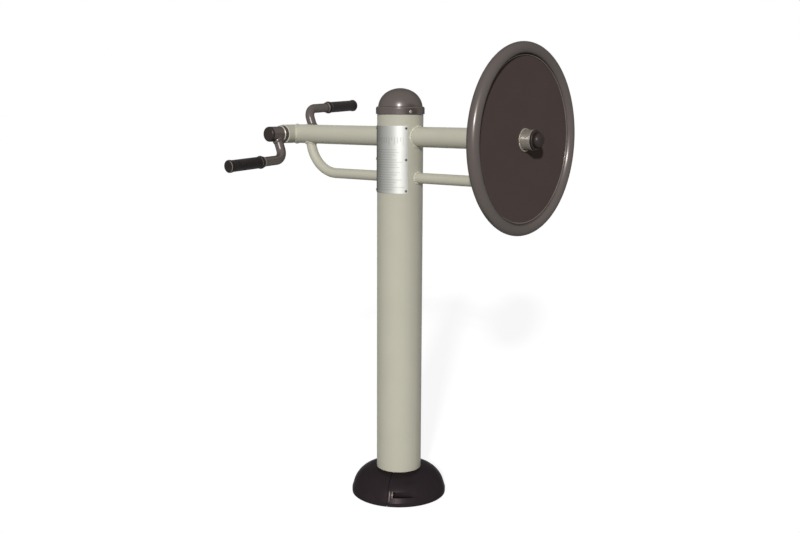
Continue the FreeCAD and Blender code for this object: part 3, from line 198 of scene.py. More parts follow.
class StationStage(bpy.types.PropertyGroup):
    """Light and camera."""

    key_azimuth: FloatProperty(
        name="Key direction", description="Key light, turned from the front towards the wheel",
        default=math.radians(32.0), subtype="ANGLE")
    key_elevation: FloatProperty(
        name="Key height", description="Key light above the horizon",
        default=math.radians(21.0), subtype="ANGLE")
    key_strength: FloatProperty(
        name="Key strength", description="Strength of the key light", default=2.7)
    key_softness: FloatProperty(
        name="Key softness", description="Width of the key light as seen from the object",
        default=math.radians(3.0), subtype="ANGLE")
    room_light: FloatProperty(
        name="Room light", description="Even light from all round", default=0.17)
    floor_size: FloatProperty(
        name="Floor", description="Side of the floor", default=60.0, unit="LENGTH")
    floor_lift: FloatProperty(
        name="Floor lift", description="Brightness added to the floor where the camera sees it",
        default=0.888)
    camera_place: FloatVectorProperty(
        name="Camera", description="Place of the camera",
        default=(1.8697, -2.3401, 1.2076), subtype="TRANSLATION")
    camera_turn: FloatProperty(
        name="Camera turn", description="Camera's turn about the upright",
        default=math.radians(38.603), subtype="ANGLE")
    camera_dip: FloatProperty(
        name="Camera dip", description="Camera below level", default=math.radians(9.207),
        subtype="ANGLE")
    camera_roll: FloatProperty(
        name="Camera roll", description="Camera's turn about its own line of sight",
        default=math.radians(0.25), subtype="ANGLE")
    lens: FloatProperty(
        name="Lens", description="Focal length in millimetres, on a 36 mm frame", default=44.25)


class Finish:
    """One material and the nodes that make it."""

    def __init__(self, name):
        self.material = bpy.data.materials.new(name)
        self.material.use_nodes = True
        self.tree = self.material.node_tree
        self.shader = self.tree.nodes["Principled BSDF"]
        self.place = self.add("ShaderNodeTexCoord").outputs["Object"]

    def add(self, kind, inputs=None, **settings):
        """New node with settings, and inputs that are values or other nodes' outputs."""
        item = self.tree.nodes.new(kind)
        for key, value in settings.items():
            setattr(item, key, value)
        for key, value in (inputs or {}).items():
            self.set(item.inputs[key], value)
        return item

    def set(self, socket, value):
        """Give a socket a value or another node's output."""
        if isinstance(value, bpy.types.NodeSocket):
            self.tree.links.new(value, socket)
        else:
            socket.default_value = value

    def shade(self, **values):
        """Set the shader's sockets by name, with _ for a space."""
        for key, value in values.items():
            self.set(self.shader.inputs[key.replace("_", " ")], value)
        return self

    def noise(self, scale, detail=2.0, roughness=0.5, place=None):
        """Noise between 0 and 1, with a scale per metre."""
        inputs = {"Vector": place or self.place, "Scale": scale, "Detail": detail,
                  "Roughness": roughness}
        return self.add("ShaderNodeTexNoise", inputs).outputs["Fac"]

    def between(self, value, low, high, to_low, to_high):
        """Value moved from one range to another, and held inside it."""
        inputs = {"Value": value, "From Min": low, "From Max": high,
                  "To Min": to_low, "To Max": to_high}
        return self.add("ShaderNodeMapRange", inputs).outputs["Result"]

    def spread(self, noise, to_low=0.0, to_high=1.0):
        """Noise stretched over a range."""
        return self.between(noise, NOISE_LOW, NOISE_HIGH, to_low, to_high)

    def math(self, operation, first, second=0.0):
        """Arithmetic on one or two values."""
        item = self.add("ShaderNodeMath", operation=operation)
        self.set(item.inputs[0], first)
        self.set(item.inputs[1], second)
        return item.outputs["Value"]

    def mix(self, factor, first, second):
        """Blend of two colours."""
        item = self.add("ShaderNodeMix", data_type="RGBA")
        self.set(item.inputs["Factor"], factor)
        self.set(item.inputs["A"], first)
        self.set(item.inputs["B"], second)
        return item.outputs["Result"]

    def bump(self, height, distance, strength=1.0, under=None):
        """Normal from a height between 0 and 1 that stands for a distance."""
        inputs = {"Height": height, "Distance": distance, "Strength": strength}
        if under is not None:
            inputs["Normal"] = under
        return self.add("ShaderNodeBump", inputs).outputs["Normal"]

    def mapped(self, location=(0, 0, 0), rotation=(0, 0, 0), scale=(1, 1, 1)):
        """Coordinates moved, turned and stretched."""
        inputs = {"Vector": self.place, "Location": location, "Rotation": rotation, "Scale": scale}
        return self.add("ShaderNodeMapping", inputs).outputs["Vector"]

    def along(self, axis, origin):
        """Coordinates turned so that Z runs along an axis, from its origin."""
        turn = axis.rotation_difference(Z_AXIS).to_matrix()
        straight = self.mapped(location=-(turn @ origin), rotation=turn.to_euler())
        return self.add("ShaderNodeSeparateXYZ", {"Vector": straight}).outputs

    def band(self, height, place, half, blur):
        """Ring round an axis: 1 at a height and 0 away from it."""
        off = self.math("ABSOLUTE", self.math("SUBTRACT", height, place))
        return self.between(off, half, half + blur, 1.0, 0.0)


def toned(colour, factor):
    """Colour made lighter or darker."""
    return tuple(min(1.0, part * factor) for part in colour)


def tint(colour, factor=1.0):
    """Colour made lighter or darker, with full opacity."""
    return (*toned(colour, factor), 1.0)


def grey(value):
    """Neutral colour, with full opacity."""
    return (value, value, value, 1.0)


def powder_coat(name, colour, rough, gloss):
    """Satin coat of the stand: slight mottle, a few scuffs and a fine orange peel."""
    finish = Finish(name)
    mottle = finish.spread(finish.noise(7.0, detail=3.0))
    base = finish.mix(mottle, tint(colour, 0.97), tint(colour, 1.03))
    rubbed = finish.noise(38.0, detail=6.0, roughness=0.7)
    scuff = finish.between(rubbed, 0.66, 0.78, 0.0, 0.10)
    worn = finish.mix(scuff, base, tint(colour, 0.45))
    peel = finish.bump(finish.noise(520.0, detail=1.0), 0.00012, strength=0.5)
    sheen = finish.spread(finish.noise(60.0, detail=3.0), rough - 0.04, rough + 0.04)
    return finish.shade(Base_Color=worn, Roughness=sheen, Normal=peel,
                        Specular_IOR_Level=gloss).material


def metallic_coat(name, colour, rough, metal=0.3, gloss=0.14, scratches=0.0, groove=0.0):
    """Dark flaked coat with an orange peel, and with scratches or with grooves turned about X."""
    finish = Finish(name)
    flake = finish.between(finish.noise(1800.0, detail=1.0), 0.35, 0.65, 0.0, 1.0)
    cloud = finish.spread(finish.noise(11.0, detail=3.0))
    flecks = finish.mix(flake, tint(colour, 0.88), tint(colour, 1.12))
    base = finish.mix(finish.math("MULTIPLY", cloud, 0.25), flecks, tint(colour, 0.84))
    if scratches:
        slanted = finish.mapped(rotation=(0.6, 0.0, 0.0), scale=(1.0, 6.0, 260.0))
        lines = finish.noise(1.6, detail=4.0, roughness=0.65, place=slanted)
        scratch = finish.between(lines, 0.69, 0.74, 0.0, scratches)
        base = finish.mix(scratch, base, tint(colour, 1.8))
    surface = finish.bump(finish.noise(420.0, detail=1.0), 0.0001, strength=0.5)
    if groove:
        along = finish.add("ShaderNodeSeparateXYZ", {"Vector": finish.place}).outputs["X"]
        wave = finish.math("SINE", finish.math("MULTIPLY", along, GROOVES * 2 * math.pi))
        surface = finish.bump(finish.between(wave, -1.0, 1.0, 0.0, 1.0), groove, under=surface)
    sheen = finish.spread(finish.noise(45.0, detail=4.0, roughness=0.6), rough - 0.03, rough + 0.04)
    return finish.shade(Base_Color=base, Metallic=metal, Roughness=sheen, Normal=surface,
                        Specular_IOR_Level=0.0, Specular_Tint=grey(0.1),
                        Coat_Weight=gloss, Coat_Roughness=COAT_ROUGH, Coat_IOR=COAT_IOR).material


def worn_and_glinting_edges(name, colour, pale, metal, axis, origin, places, half):
    """Coat with paler rings round an axis at a piece's edges: partly worn paint, partly a painted highlight of the
    lit edges.
    """
    finish = Finish(name)
    height = finish.along(axis, origin)["Z"]
    fleck = finish.spread(finish.noise(700.0, detail=2.0))
    base = finish.mix(fleck, tint(colour, 0.92), tint(colour, 1.08))
    patches = finish.noise(70.0, detail=4.0, roughness=0.6)
    patchy = finish.between(patches, 0.3, 0.55, 0.55, 1.0)
    # Paler rings at the edges, in patches: worn paint that also serves as a painted highlight on the edges
    for place in places:
        ring = finish.band(height, place, half, 0.4 * half)
        base = finish.mix(finish.math("MULTIPLY", ring, patchy), base, tint(pale))
    peel = finish.bump(fleck, 0.00006, strength=0.4)
    rough = finish.between(fleck, 0.0, 1.0, 0.34, 0.42)
    return finish.shade(Base_Color=base, Metallic=metal, Roughness=rough, Normal=peel,
                        Specular_IOR_Level=0.1, Specular_Tint=grey(0.1)).material


def moulded_plastic(name, colour, rough):
    """Black moulded plastic with a fine grain and a little dust."""
    finish = Finish(name)
    dust = finish.between(finish.noise(24.0, detail=6.0, roughness=0.65), 0.52, 0.8, 0.0, 0.35)
    base = finish.mix(dust, tint(colour), tint(colour, 1.7))
    grain = finish.bump(finish.noise(900.0, detail=2.0), 0.00008, strength=0.6)
    sheen = finish.spread(finish.noise(50.0, detail=4.0), rough - 0.03, rough + 0.06)
    return finish.shade(Base_Color=base, Metallic=0.5, Roughness=sheen, Normal=grain,
                        Specular_IOR_Level=0.0, Specular_Tint=grey(0.5)).material


def ribbed_rubber(name, colour, dust, joint, grip):
    """Grip rubber with a fine diamond pattern about the handle's axis, and a painted highlight beside its beads on
    one side.
    """
    finish = Finish(name)
    axis = Vector(joint["axis"])
    origin = Vector(joint["pos_m"])
    parts = finish.along(axis, origin)
    angle = finish.math("ARCTAN2", parts["Y"], parts["X"])
    angle = finish.math("MULTIPLY", angle, DIAMONDS_ROUND)
    along = finish.math("MULTIPLY", parts["Z"], DIAMONDS_ALONG)
    left = finish.math("SINE", finish.math("ADD", angle, along))
    right = finish.math("SINE", finish.math("SUBTRACT", angle, along))
    knurl = finish.between(finish.math("ADD", left, right), -1.2, 1.2, 0.0, 1.0)
    pattern = finish.bump(knurl, 0.0004, strength=0.8)
    wear = finish.between(finish.noise(55.0, detail=5.0, roughness=0.6), 0.4, 0.8, 0.0, 0.5)
    base = finish.mix(wear, tint(colour, 0.9), tint(colour, 1.9))
    start, stop = span(grip, axis, origin)
    # Place and half width of the painted highlight beside each bead, painted only on the side towards X, where the
    # light falls
    inner_bead = (start + 0.0082, 0.0008)
    outer_bead = (stop - 0.0014, 0.0006)
    painted_glint_side = finish.between(parts["X"], -0.002, 0.012, 0.0, 1.0)
    for place, half in (inner_bead, outer_bead):
        ring = finish.band(parts["Z"], place, half, 0.6 * half)
        base = finish.mix(finish.math("MULTIPLY", ring, painted_glint_side), base, tint(dust))
    rough = finish.between(knurl, 0.0, 1.0, 0.72, 0.55)
    return finish.shade(Base_Color=base, Roughness=rough, Normal=pattern,
                        Specular_IOR_Level=0.2).material


def brushed_sheet(colour, low, high, half_wrap):
    """Bright plate, brushed round the post, with plain printed marks, and a painted reflection: darker on one
    side, lighter on the other.
    """
    finish = Finish("brushed_plate")
    brushed = finish.mapped(scale=(6.0, 6.0, 1700.0))
    grain = finish.noise(1.0, detail=4.0, roughness=0.6, place=brushed)
    parts = finish.add("ShaderNodeSeparateXYZ", {"Vector": finish.place}).outputs
    away = finish.math("MULTIPLY", parts["Y"], -1.0)
    across = finish.math("DIVIDE", finish.math("ARCTAN2", parts["X"], away), half_wrap)
    # Painted reflection: the plate's colour runs from darker on one side to lighter on the other, as light and
    # surroundings would show on bare metal
    painted_sheen_side = finish.between(across, -0.35, 0.9, 0.0, 1.0)
    painted_sheen = finish.mix(painted_sheen_side, tint(colour, 0.55), tint(colour, 1.26))
    metal = finish.mix(finish.spread(grain, 0.16, 0.0), painted_sheen, tint(colour, 0.3))
    rise = finish.math("DIVIDE", finish.math("SUBTRACT", parts["Z"], low), high - low)
    rules = printed_rules(finish, across, rise)
    marks = finish.math("MAXIMUM", rules, printed_blocks(finish, across, rise))
    faded = finish.math("MULTIPLY", marks, finish.between(grain, 0.35, 0.6, 0.14, 0.32))
    base = finish.mix(faded, metal, tint(colour, 0.25))
    groove = finish.bump(grain, 0.00004, strength=0.6)
    return finish.shade(Base_Color=base, Metallic=0.7, Roughness=finish.spread(grain, 0.46, 0.56),
                        Normal=groove, Specular_IOR_Level=0.0, Specular_Tint=grey(0.05)).material


def uneven(finish, count, low, high):
    """Value that is steady within each whole number and differs between them."""
    whole = {"X": finish.math("FLOOR", count)}
    number = finish.add("ShaderNodeCombineXYZ", whole).outputs["Vector"]
    return finish.spread(finish.noise(0.73, detail=0.0, place=number), low, high)


def printed_rules(finish, across, rise):
    """Fine ragged rules over the lower part of the plate."""
    row = finish.math("MULTIPLY", rise, PRINT_ROWS)
    off = finish.math("ABSOLUTE", finish.math("SUBTRACT", finish.math("FRACT", row), 0.5))
    line = finish.between(off, 0.12, 0.26, 1.0, 0.0)
    past = finish.math("SUBTRACT", across, uneven(finish, row, 0.2, 0.85))
    body = finish.math("MULTIPLY", finish.between(across, -0.86, -0.84, 0.0, 1.0),
                       finish.between(past, 0.0, 0.02, 1.0, 0.0))
    field = finish.math("MULTIPLY", finish.between(row, 1.0, 1.1, 0.0, 1.0),
                        finish.between(row, 17.9, 18.0, 1.0, 0.0))
    return finish.math("MULTIPLY", line, finish.math("MULTIPLY", field, body))


def printed_blocks(finish, across, rise):
    """Row of small plain blocks of uneven height in the upper part of the plate."""
    column = finish.math("MULTIPLY", across, PRINT_COLUMNS)
    off = finish.math("ABSOLUTE", finish.math("SUBTRACT", finish.math("FRACT", column), 0.5))
    stripe = finish.between(off, 0.20, 0.28, 1.0, 0.0)
    inside = finish.between(finish.math("ABSOLUTE", across), 0.80, 0.82, 1.0, 0.0)
    foot = finish.math("SUBTRACT", rise, uneven(finish, column, 0.70, 0.78))
    field = finish.math("MULTIPLY", finish.between(foot, 0.0, 0.01, 0.0, 1.0),
                        finish.between(rise, 0.83, 0.84, 1.0, 0.0))
    return finish.math("MULTIPLY", finish.math("MULTIPLY", stripe, inside), field)


def turned_steel(name, colour, rough):
    """Plain steel with fine tool marks."""
    finish = Finish(name)
    marks = finish.noise(900.0, detail=3.0, roughness=0.6)
    base = finish.mix(finish.spread(marks), tint(colour, 0.9), tint(colour, 1.08))
    sheen = finish.spread(marks, rough - 0.05, rough + 0.08)
    return finish.shade(Base_Color=base, Metallic=0.9, Roughness=sheen,
                        Normal=finish.bump(marks, 0.00003, strength=0.5)).material


def plain_moulding(name, colour, rough):
    """Dull nylon or seal rubber with a slight mottle."""
    finish = Finish(name)
    mottle = finish.spread(finish.noise(160.0, detail=4.0))
    base = finish.mix(mottle, tint(colour, 0.92), tint(colour, 1.08))
    sheen = finish.between(mottle, 0.0, 1.0, rough, rough + 0.1)
    return finish.shade(Base_Color=base, Roughness=sheen).material


def span(piece, axis, origin):
    """Lowest and highest place of a piece along an axis."""
    reach = [(point.co - origin).dot(axis) for point in piece.data.vertices]
    return min(reach), max(reach)


def node_slots():
    """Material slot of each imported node."""
    return {row["node"]: row["material_slot"] for row in frame["record"]["subparts"]}


def coat(piece, material):
    """Give a piece one material all over."""
    piece.data.materials.clear()
    piece.data.materials.append(material)


def material(name):
    """Finish made by an earlier operator."""
    return bpy.data.materials[name]


def deselect():
    """Leave nothing selected, so that the next operator meets only its own piece."""
    bpy.ops.object.select_all(action="DESELECT")


def pick(piece):
    """Select one piece and make it active."""
    deselect()
    piece.select_set(True)
    bpy.context.view_layer.objects.active = piece


def added(name):
    """Primitive that was just added, under its own name."""
    piece = bpy.context.object
    piece.name = name
    piece.data.name = name
    return piece


def mark(piece, kind, test):
    """Select, for edit mode, the faces or edges of a piece that pass a test."""
    bpy.ops.object.mode_set(mode="EDIT")
    bpy.ops.mesh.select_mode(type=kind)
    bpy.ops.mesh.select_all(action="DESELECT")
    bpy.ops.object.mode_set(mode="OBJECT")
    mesh = piece.data
    for item in {"FACE": mesh.polygons, "EDGE": mesh.edges}[kind]:
        item.select = test(item)
    bpy.ops.object.mode_set(mode="EDIT")


def settle(piece, place):
    """Move a piece by a matrix and put its place into its mesh."""
    pick(piece)
    piece.matrix_world = place
    bpy.ops.object.transform_apply(location=True, rotation=True, scale=True)


def seat(piece, finish, body):
    """Coat a piece and let it move with its body."""
    coat(piece, material(finish))
    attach(piece, body)


def axes(origin, up, along):
    """Matrix of a frame with its Z axis along up and its X axis along another direction."""
    up = up.normalized()
    along = along.normalized()
    across = up.cross(along)
    turn = Matrix((along, across, up)).transposed().to_4x4()
    return Matrix.Translation(origin) @ turn


def half_size(node, axis):
    """Half of a node's extent along an axis."""
    low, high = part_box(node)
    return (high[axis] - low[axis]) / 2


def lay_bead(name, tube, bead, pitch, place, carrier=0.0, lean=0.35, ripple=1.0, tall=1.0):
    """Weld bead round a tube that stands on a plate or on another tube of radius carrier.

    The bead starts as a torus about its own Z axis. Its rings swell in uneven ripples, and it is
    draped over the carrier, whose axis is the bead's X axis. Lean is its middle's way out of the
    tube, as a share of the bead. Ripple is the share of the swell, and tall stretches the bead
    along the tube."""
    ring = tube + lean * bead
    ripples = round(2 * math.pi * ring / pitch)
    raised = 0.2 * bead
    flank = 0.97 * carrier
    deselect()
    bpy.ops.mesh.primitive_torus_add(major_radius=ring, minor_radius=bead,
                                     major_segments=6 * ripples, minor_segments=10)
    piece = added(name)
    for point in piece.data.vertices:
        angle = math.atan2(point.co.y, point.co.x)
        # Ripples of uneven length, and slower swells that differ from tube to tube
        phase = ripples * angle + 0.9 * math.sin(5 * angle + tube * 700)
        scallop = abs(math.sin(phase / 2)) - 0.6
        wander = math.sin(7 * angle + tube * 900) + 0.7 * math.sin(13 * angle + tube * 400)
        spine = Vector((math.cos(angle), math.sin(angle), 0)) * ring
        swell = 0.92 + ripple * (0.30 * scallop + 0.12 * wander)
        point.co = spine + (point.co - spine) * swell
        point.co.z *= tall
        if carrier:
            across = max(-flank, min(flank, point.co.y))
            point.co.z += math.sqrt(carrier ** 2 - across ** 2)
        point.co.z += raised
    pick(piece)
    bpy.ops.object.shade_smooth()
    settle(piece, place)
    return piece


def cross_head(name, head, dome, shank, length, recess):
    """Round screw head with a cross recess, on its shank, standing on its own origin."""
    deselect()
    bpy.ops.mesh.primitive_cylinder_add(vertices=40, radius=head, depth=dome,
                                        location=(0, 0, dome / 2))
    piece = added(name)
    bpy.ops.object.transform_apply(location=True, rotation=True, scale=True)
    top = dome * 0.99
    points = piece.data.vertices
    mark(piece, "EDGE", lambda edge: all(points[i].co.z > top for i in edge.vertices))
    bpy.ops.mesh.bevel(offset=dome * 0.75, segments=5, profile=0.5)
    mark(piece, "FACE", lambda face: face.normal.z < -0.9)
    bpy.ops.mesh.inset(thickness=head - shank)
    bpy.ops.mesh.extrude_region_move(TRANSFORM_OT_translate={"value": (0, 0, -length)})
    bpy.ops.object.mode_set(mode="OBJECT")
    slot_long = 1.25 * head
    slot_wide = 0.26 * head
    for size in ((slot_long, slot_wide), (slot_wide, slot_long)):
        deselect()
        bpy.ops.mesh.primitive_cube_add(size=1.0, location=(0, 0, dome))
        cutter = added(f"{name}_cutter")
        cutter.scale = (*size, 2 * recess)
        bpy.ops.object.transform_apply(location=True, rotation=True, scale=True)
        pick(piece)
        hollow = piece.modifiers.new("recess", "BOOLEAN")
        hollow.operation = "DIFFERENCE"
        hollow.object = cutter
        bpy.ops.object.modifier_apply(modifier=hollow.name)
        bpy.data.objects.remove(cutter)
    pick(piece)
    bpy.ops.object.shade_smooth_by_angle(angle=math.radians(35))
    return piece


def rivet_head(name, head, dome, shank, length):
    """Blind rivet: a domed flange with the broken stem sunk in its middle."""
    deselect()
    bpy.ops.mesh.primitive_cylinder_add(vertices=32, radius=head, depth=dome,
                                        location=(0, 0, dome / 2))
    piece = added(name)
    bpy.ops.object.transform_apply(location=True, rotation=True, scale=True)
    top = dome * 0.99
    rounding = dome * 0.8
    stem_depth = dome * 0.7
    points = piece.data.vertices
    mark(piece, "EDGE", lambda edge: all(points[i].co.z > top for i in edge.vertices))
    bpy.ops.mesh.bevel(offset=rounding, segments=4, profile=0.5)
    mark(piece, "FACE", lambda face: face.normal.z > 0.9 and face.center.z > top)
    bpy.ops.mesh.inset(thickness=(head - rounding) * 0.45)
    bpy.ops.mesh.extrude_region_move(TRANSFORM_OT_translate={"value": (0, 0, -stem_depth)})
    mark(piece, "FACE", lambda face: face.normal.z < -0.9)
    bpy.ops.mesh.inset(thickness=head - shank)
    bpy.ops.mesh.extrude_region_move(TRANSFORM_OT_translate={"value": (0, 0, -length)})
    bpy.ops.object.mode_set(mode="OBJECT")
    pick(piece)
    bpy.ops.object.shade_smooth_by_angle(angle=math.radians(40))
    return piece


def copies(master, name, places):
    """Copies of a modelled piece at several places, joined into one, with the first one used up."""
    made = []
    for place in places:
        pick(master)
        bpy.ops.object.duplicate()
        made.append(bpy.context.object)
        settle(made[-1], place)
    bpy.data.objects.remove(master)
    deselect()
    for piece in made:
        piece.select_set(True)
    bpy.context.view_layer.objects.active = made[0]
    bpy.ops.object.join()
    return added(name)


def upright_rib(name, radius, low, high, angle, shell):
    """Rounded rib that stands half sunk in a shell, from one height to another."""
    deselect()
    bpy.ops.mesh.primitive_cylinder_add(vertices=20, radius=radius, depth=high - low,
                                        location=(0, 0, (low + high) / 2))
    piece = added(name)
    bpy.ops.object.transform_apply(location=True, rotation=True, scale=True)

    def rise(edge):
        ends = [piece.data.vertices[index].co.z for index in edge.vertices]
        return abs(ends[0] - ends[1])

    mark(piece, "EDGE", lambda edge: rise(edge) < 0.1 * radius)
    bpy.ops.mesh.bevel(offset=0.8 * radius, segments=4, profile=0.5)
    mark(piece, "EDGE", lambda edge: rise(edge) > 2 * radius)
    bpy.ops.mesh.subdivide(number_cuts=12)
    bpy.ops.object.mode_set(mode="OBJECT")
    out = round_post(angle)
    side = Z_AXIS.cross(out)
    sunk = 0.4 * radius
    for point in piece.data.vertices:
        height = Z_AXIS * point.co.z
        met, place = shell.ray_cast(out + height, -out)[:2]
        if not met:
            raise RuntimeError(f"{name} finds no shell at {point.co.z:.4f}")
        point.co = out * (place.dot(out) + point.co.x - sunk) + side * point.co.y + height
    pick(piece)
    bpy.ops.object.shade_smooth()
    return piece


def round_post(angle):
    """Level direction out of the post, turned from the front towards the wheel."""
    return Vector((math.sin(angle), -math.cos(angle), 0))


class STATION_OT_finishes(bpy.types.Operator):
    """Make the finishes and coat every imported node"""

    bl_idname = "station.finishes"
    bl_label = "Finishes"

    def execute(self, context):
        colours = context.scene.station_colours
        sizes = context.scene.station_sizes
        by_slot = self.slot_finishes(colours, sizes)
        by_node = {**self.wheel_finishes(colours), **self.crank_finishes(colours, sizes)}
        for name, slot in node_slots().items():
            coat(NODES[name], by_node.get(name) or by_slot[slot])
        self.added_finishes(colours)
        return {"FINISHED"}

    def slot_finishes(self, colours, sizes):
        """Finish of each material slot."""
        low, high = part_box("info_plate")
        return {
            "beige_paint": powder_coat("stand_powder_coat", colours.stand, rough=0.48, gloss=0.2),
            "brown_paint": metallic_coat("brown_coat", colours.brown, rough=0.36),
            "plate_steel": brushed_sheet(colours.plate, low.z, high.z, sizes.plate_wrap),
            "black_plastic": moulded_plastic("boot_plastic", colours.plastic, rough=0.32),
            "seal_rubber": plain_moulding("seal_rubber", colours.rubber, rough=0.6),
            "sleeve_nylon": plain_moulding("sleeve_nylon", colours.nylon, rough=0.45),
            "bright_steel": turned_steel("turned_steel", colours.steel, rough=0.28),
            "zinc_steel": turned_steel("zinc_plate", toned(colours.steel, 1.05), rough=0.36),
        }

    def wheel_finishes(self, colours):
        """Finishes of the wheel's hub and sheet, and of the black caps on all hubs."""
        caps = moulded_plastic("cap_plastic", colours.caps, rough=0.35)
        hub = metallic_coat("wheel_hub_coat", colours.boss, rough=0.36, metal=0.35, gloss=0.16,
                            groove=0.00018)
        sheet = metallic_coat("wheel_sheet_coat", colours.sheet, rough=0.45, metal=0.06, gloss=0.0,
                              scratches=0.22)
        return {"wheel_plate": sheet, "wheel_hub": hub, "wheel_hub_cap": caps,
                "near_hub_plug": caps, "far_hub_plug": caps}

    def crank_finishes(self, colours, sizes):
        """Crank's shell, collars and rings with paler edge rings, partly worn and partly painted highlight, and
        grips with a painted highlight.
        """
        axle = Vector(JOINTS["crank_spin"]["pos_m"])
        ends = span(NODES["crank_shell"], Y_AXIS, axle)
        made = {"crank_shell": worn_and_glinting_edges(
            "crank_shell_coat", colours.stand, colours.worn_paint_and_glint, metal=0.0,
            axis=Y_AXIS, origin=axle, places=ends, half=sizes.shell_wear_and_glint)}
        for side, out in (("near", -Y_AXIS), ("far", Y_AXIS)):
            collar = f"{side}_dust_collar"
            ring = f"{side}_thrust_ring"
            grip = f"{side}_grip"
            joint = JOINTS[f"{side}_grip_spin"]
            line = Vector(joint["axis"])
            corner = Vector(joint["pos_m"])
            edge = span(NODES[collar], out, axle)[1]
            made[collar] = worn_and_glinting_edges(
                f"{side}_collar_coat", colours.brown, colours.worn_metal_and_glint, metal=0.3,
                axis=out, origin=axle, places=[edge], half=sizes.collar_wear_and_glint)
            edge = span(NODES[ring], line, corner)[0] + sizes.ring_line
            made[ring] = worn_and_glinting_edges(
                f"{side}_ring_coat", toned(colours.brown, 0.9), toned(colours.worn_metal_and_glint, 0.7),
                metal=0.3, axis=line, origin=corner, places=[edge], half=sizes.ring_wear_and_glint)
            made[grip] = ribbed_rubber(f"{side}_grip_rubber", colours.rubber, colours.dust, joint,
                                       NODES[grip])
        return made

    def added_finishes(self, colours):
        """Finishes of the welds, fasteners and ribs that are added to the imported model."""
        powder_coat("stand_weld_coat", toned(colours.stand, 1.08), rough=0.28, gloss=0.55)
        metallic_coat("hub_weld_coat", colours.boss, rough=0.28, metal=0.5, gloss=0.12)
        metallic_coat("rim_weld_coat", toned(colours.brown, 1.4), rough=0.25)
        turned_steel("dark_rivet", toned(colours.steel, 0.30), rough=0.38)
        turned_steel("black_screw", toned(colours.steel, 0.05), rough=0.40)
        # Painted highlight: the boot's ribs get plastic four times lighter than the caps, for the glint on their
        # rounded edges
        moulded_plastic("glint_rib_plastic", toned(colours.caps, 4.0), rough=0.3)


class STATION_OT_stand_welds(bpy.types.Operator):
    """Lay the beads between post, arms, braces and crank shell"""

    bl_idname = "station.stand_welds"
    bl_label = "Stand Welds"

    def execute(self, context):
        sizes = context.scene.station_sizes
        post = half_size("post_tube", 0)
        beads = []
        for side, out in (("left", -X_AXIS), ("right", X_AXIS)):
            arm = f"{side}_arm_tube"
            brace = f"{side}_brace_tube"
            level = sum(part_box(arm), Vector()).z / 2
            low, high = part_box(brace)
            thin = half_size(brace, 1)
            tube = half_size(arm, 1)
            leg = (low.x if side == "left" else high.x) - out.x * thin
            beads.append((f"{side}_arm_weld", tube, axes(Z_AXIS * level, out, Z_AXIS), post))
            run = axes(Z_AXIS * (low.z + thin), out, Z_AXIS)
            beads.append((f"{side}_brace_weld", thin, run, post))
            under = axes(Vector((leg, 0, level)), -Z_AXIS, X_AXIS)
            beads.append((f"{side}_brace_top_weld", thin, under, tube))
        shell = sum(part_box("crank_shell"), Vector()) / 2
        flush = axes(shell, X_AXIS, Y_AXIS)
        for name, tube, place, carrier in beads:
            piece = lay_bead(name, tube, sizes.weld_bead, sizes.weld_pitch, place, carrier)
            seat(piece, "stand_weld_coat", "stand")
        piece = lay_bead("crank_shell_weld", half_size("left_arm_tube", 1), sizes.crank_bead,
                         sizes.weld_pitch, flush, half_size("crank_shell", 2), lean=0.0)
        seat(piece, "stand_weld_coat", "stand")
        return {"FINISHED"}


class STATION_OT_moving_welds(bpy.types.Operator):
    """Lay the beads on the crank's hubs and on both faces of the wheel"""

    bl_idname = "station.moving_welds"
    bl_label = "Crank and Wheel Welds"

    def execute(self, context):
        sizes = context.scene.station_sizes
        axle = Vector(JOINTS["crank_spin"]["pos_m"])
        for side in ("near", "far"):
            corner = Vector(JOINTS[f"{side}_grip_spin"]["pos_m"])
            middle = Vector((axle.x, corner.y, axle.z))
            place = axes(middle, corner - middle, Y_AXIS)
            hub = half_size(f"{side}_crank_hub", 0)
            piece = lay_bead(f"{side}_crank_weld", sizes.crank_tube, sizes.hub_bead,
                             sizes.weld_pitch, place, hub, lean=-0.25, ripple=0.0, tall=2.2)
            seat(piece, "brown_coat", "crank")
        back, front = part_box("wheel_plate")
        centre = Vector(JOINTS["wheel_spin"]["pos_m"])
        hub = half_size("wheel_hub", 1)
        rim = half_size("wheel_rim", 1) - 2 * half_size("wheel_rim", 0)
        for face, x, out in (("front", front.x, X_AXIS), ("back", back.x, -X_AXIS)):
            place = axes(Vector((x, centre.y, centre.z)), out, Y_AXIS)
            boss = lay_bead(f"wheel_hub_weld_{face}", hub, sizes.weld_bead, sizes.weld_pitch, place)
            seat(boss, "hub_weld_coat", "wheel")
            edge = lay_bead(f"wheel_rim_weld_{face}", rim, sizes.crank_bead, sizes.weld_pitch,
                            place, lean=-0.35)
            seat(edge, "rim_weld_coat", "wheel")
        return {"FINISHED"}


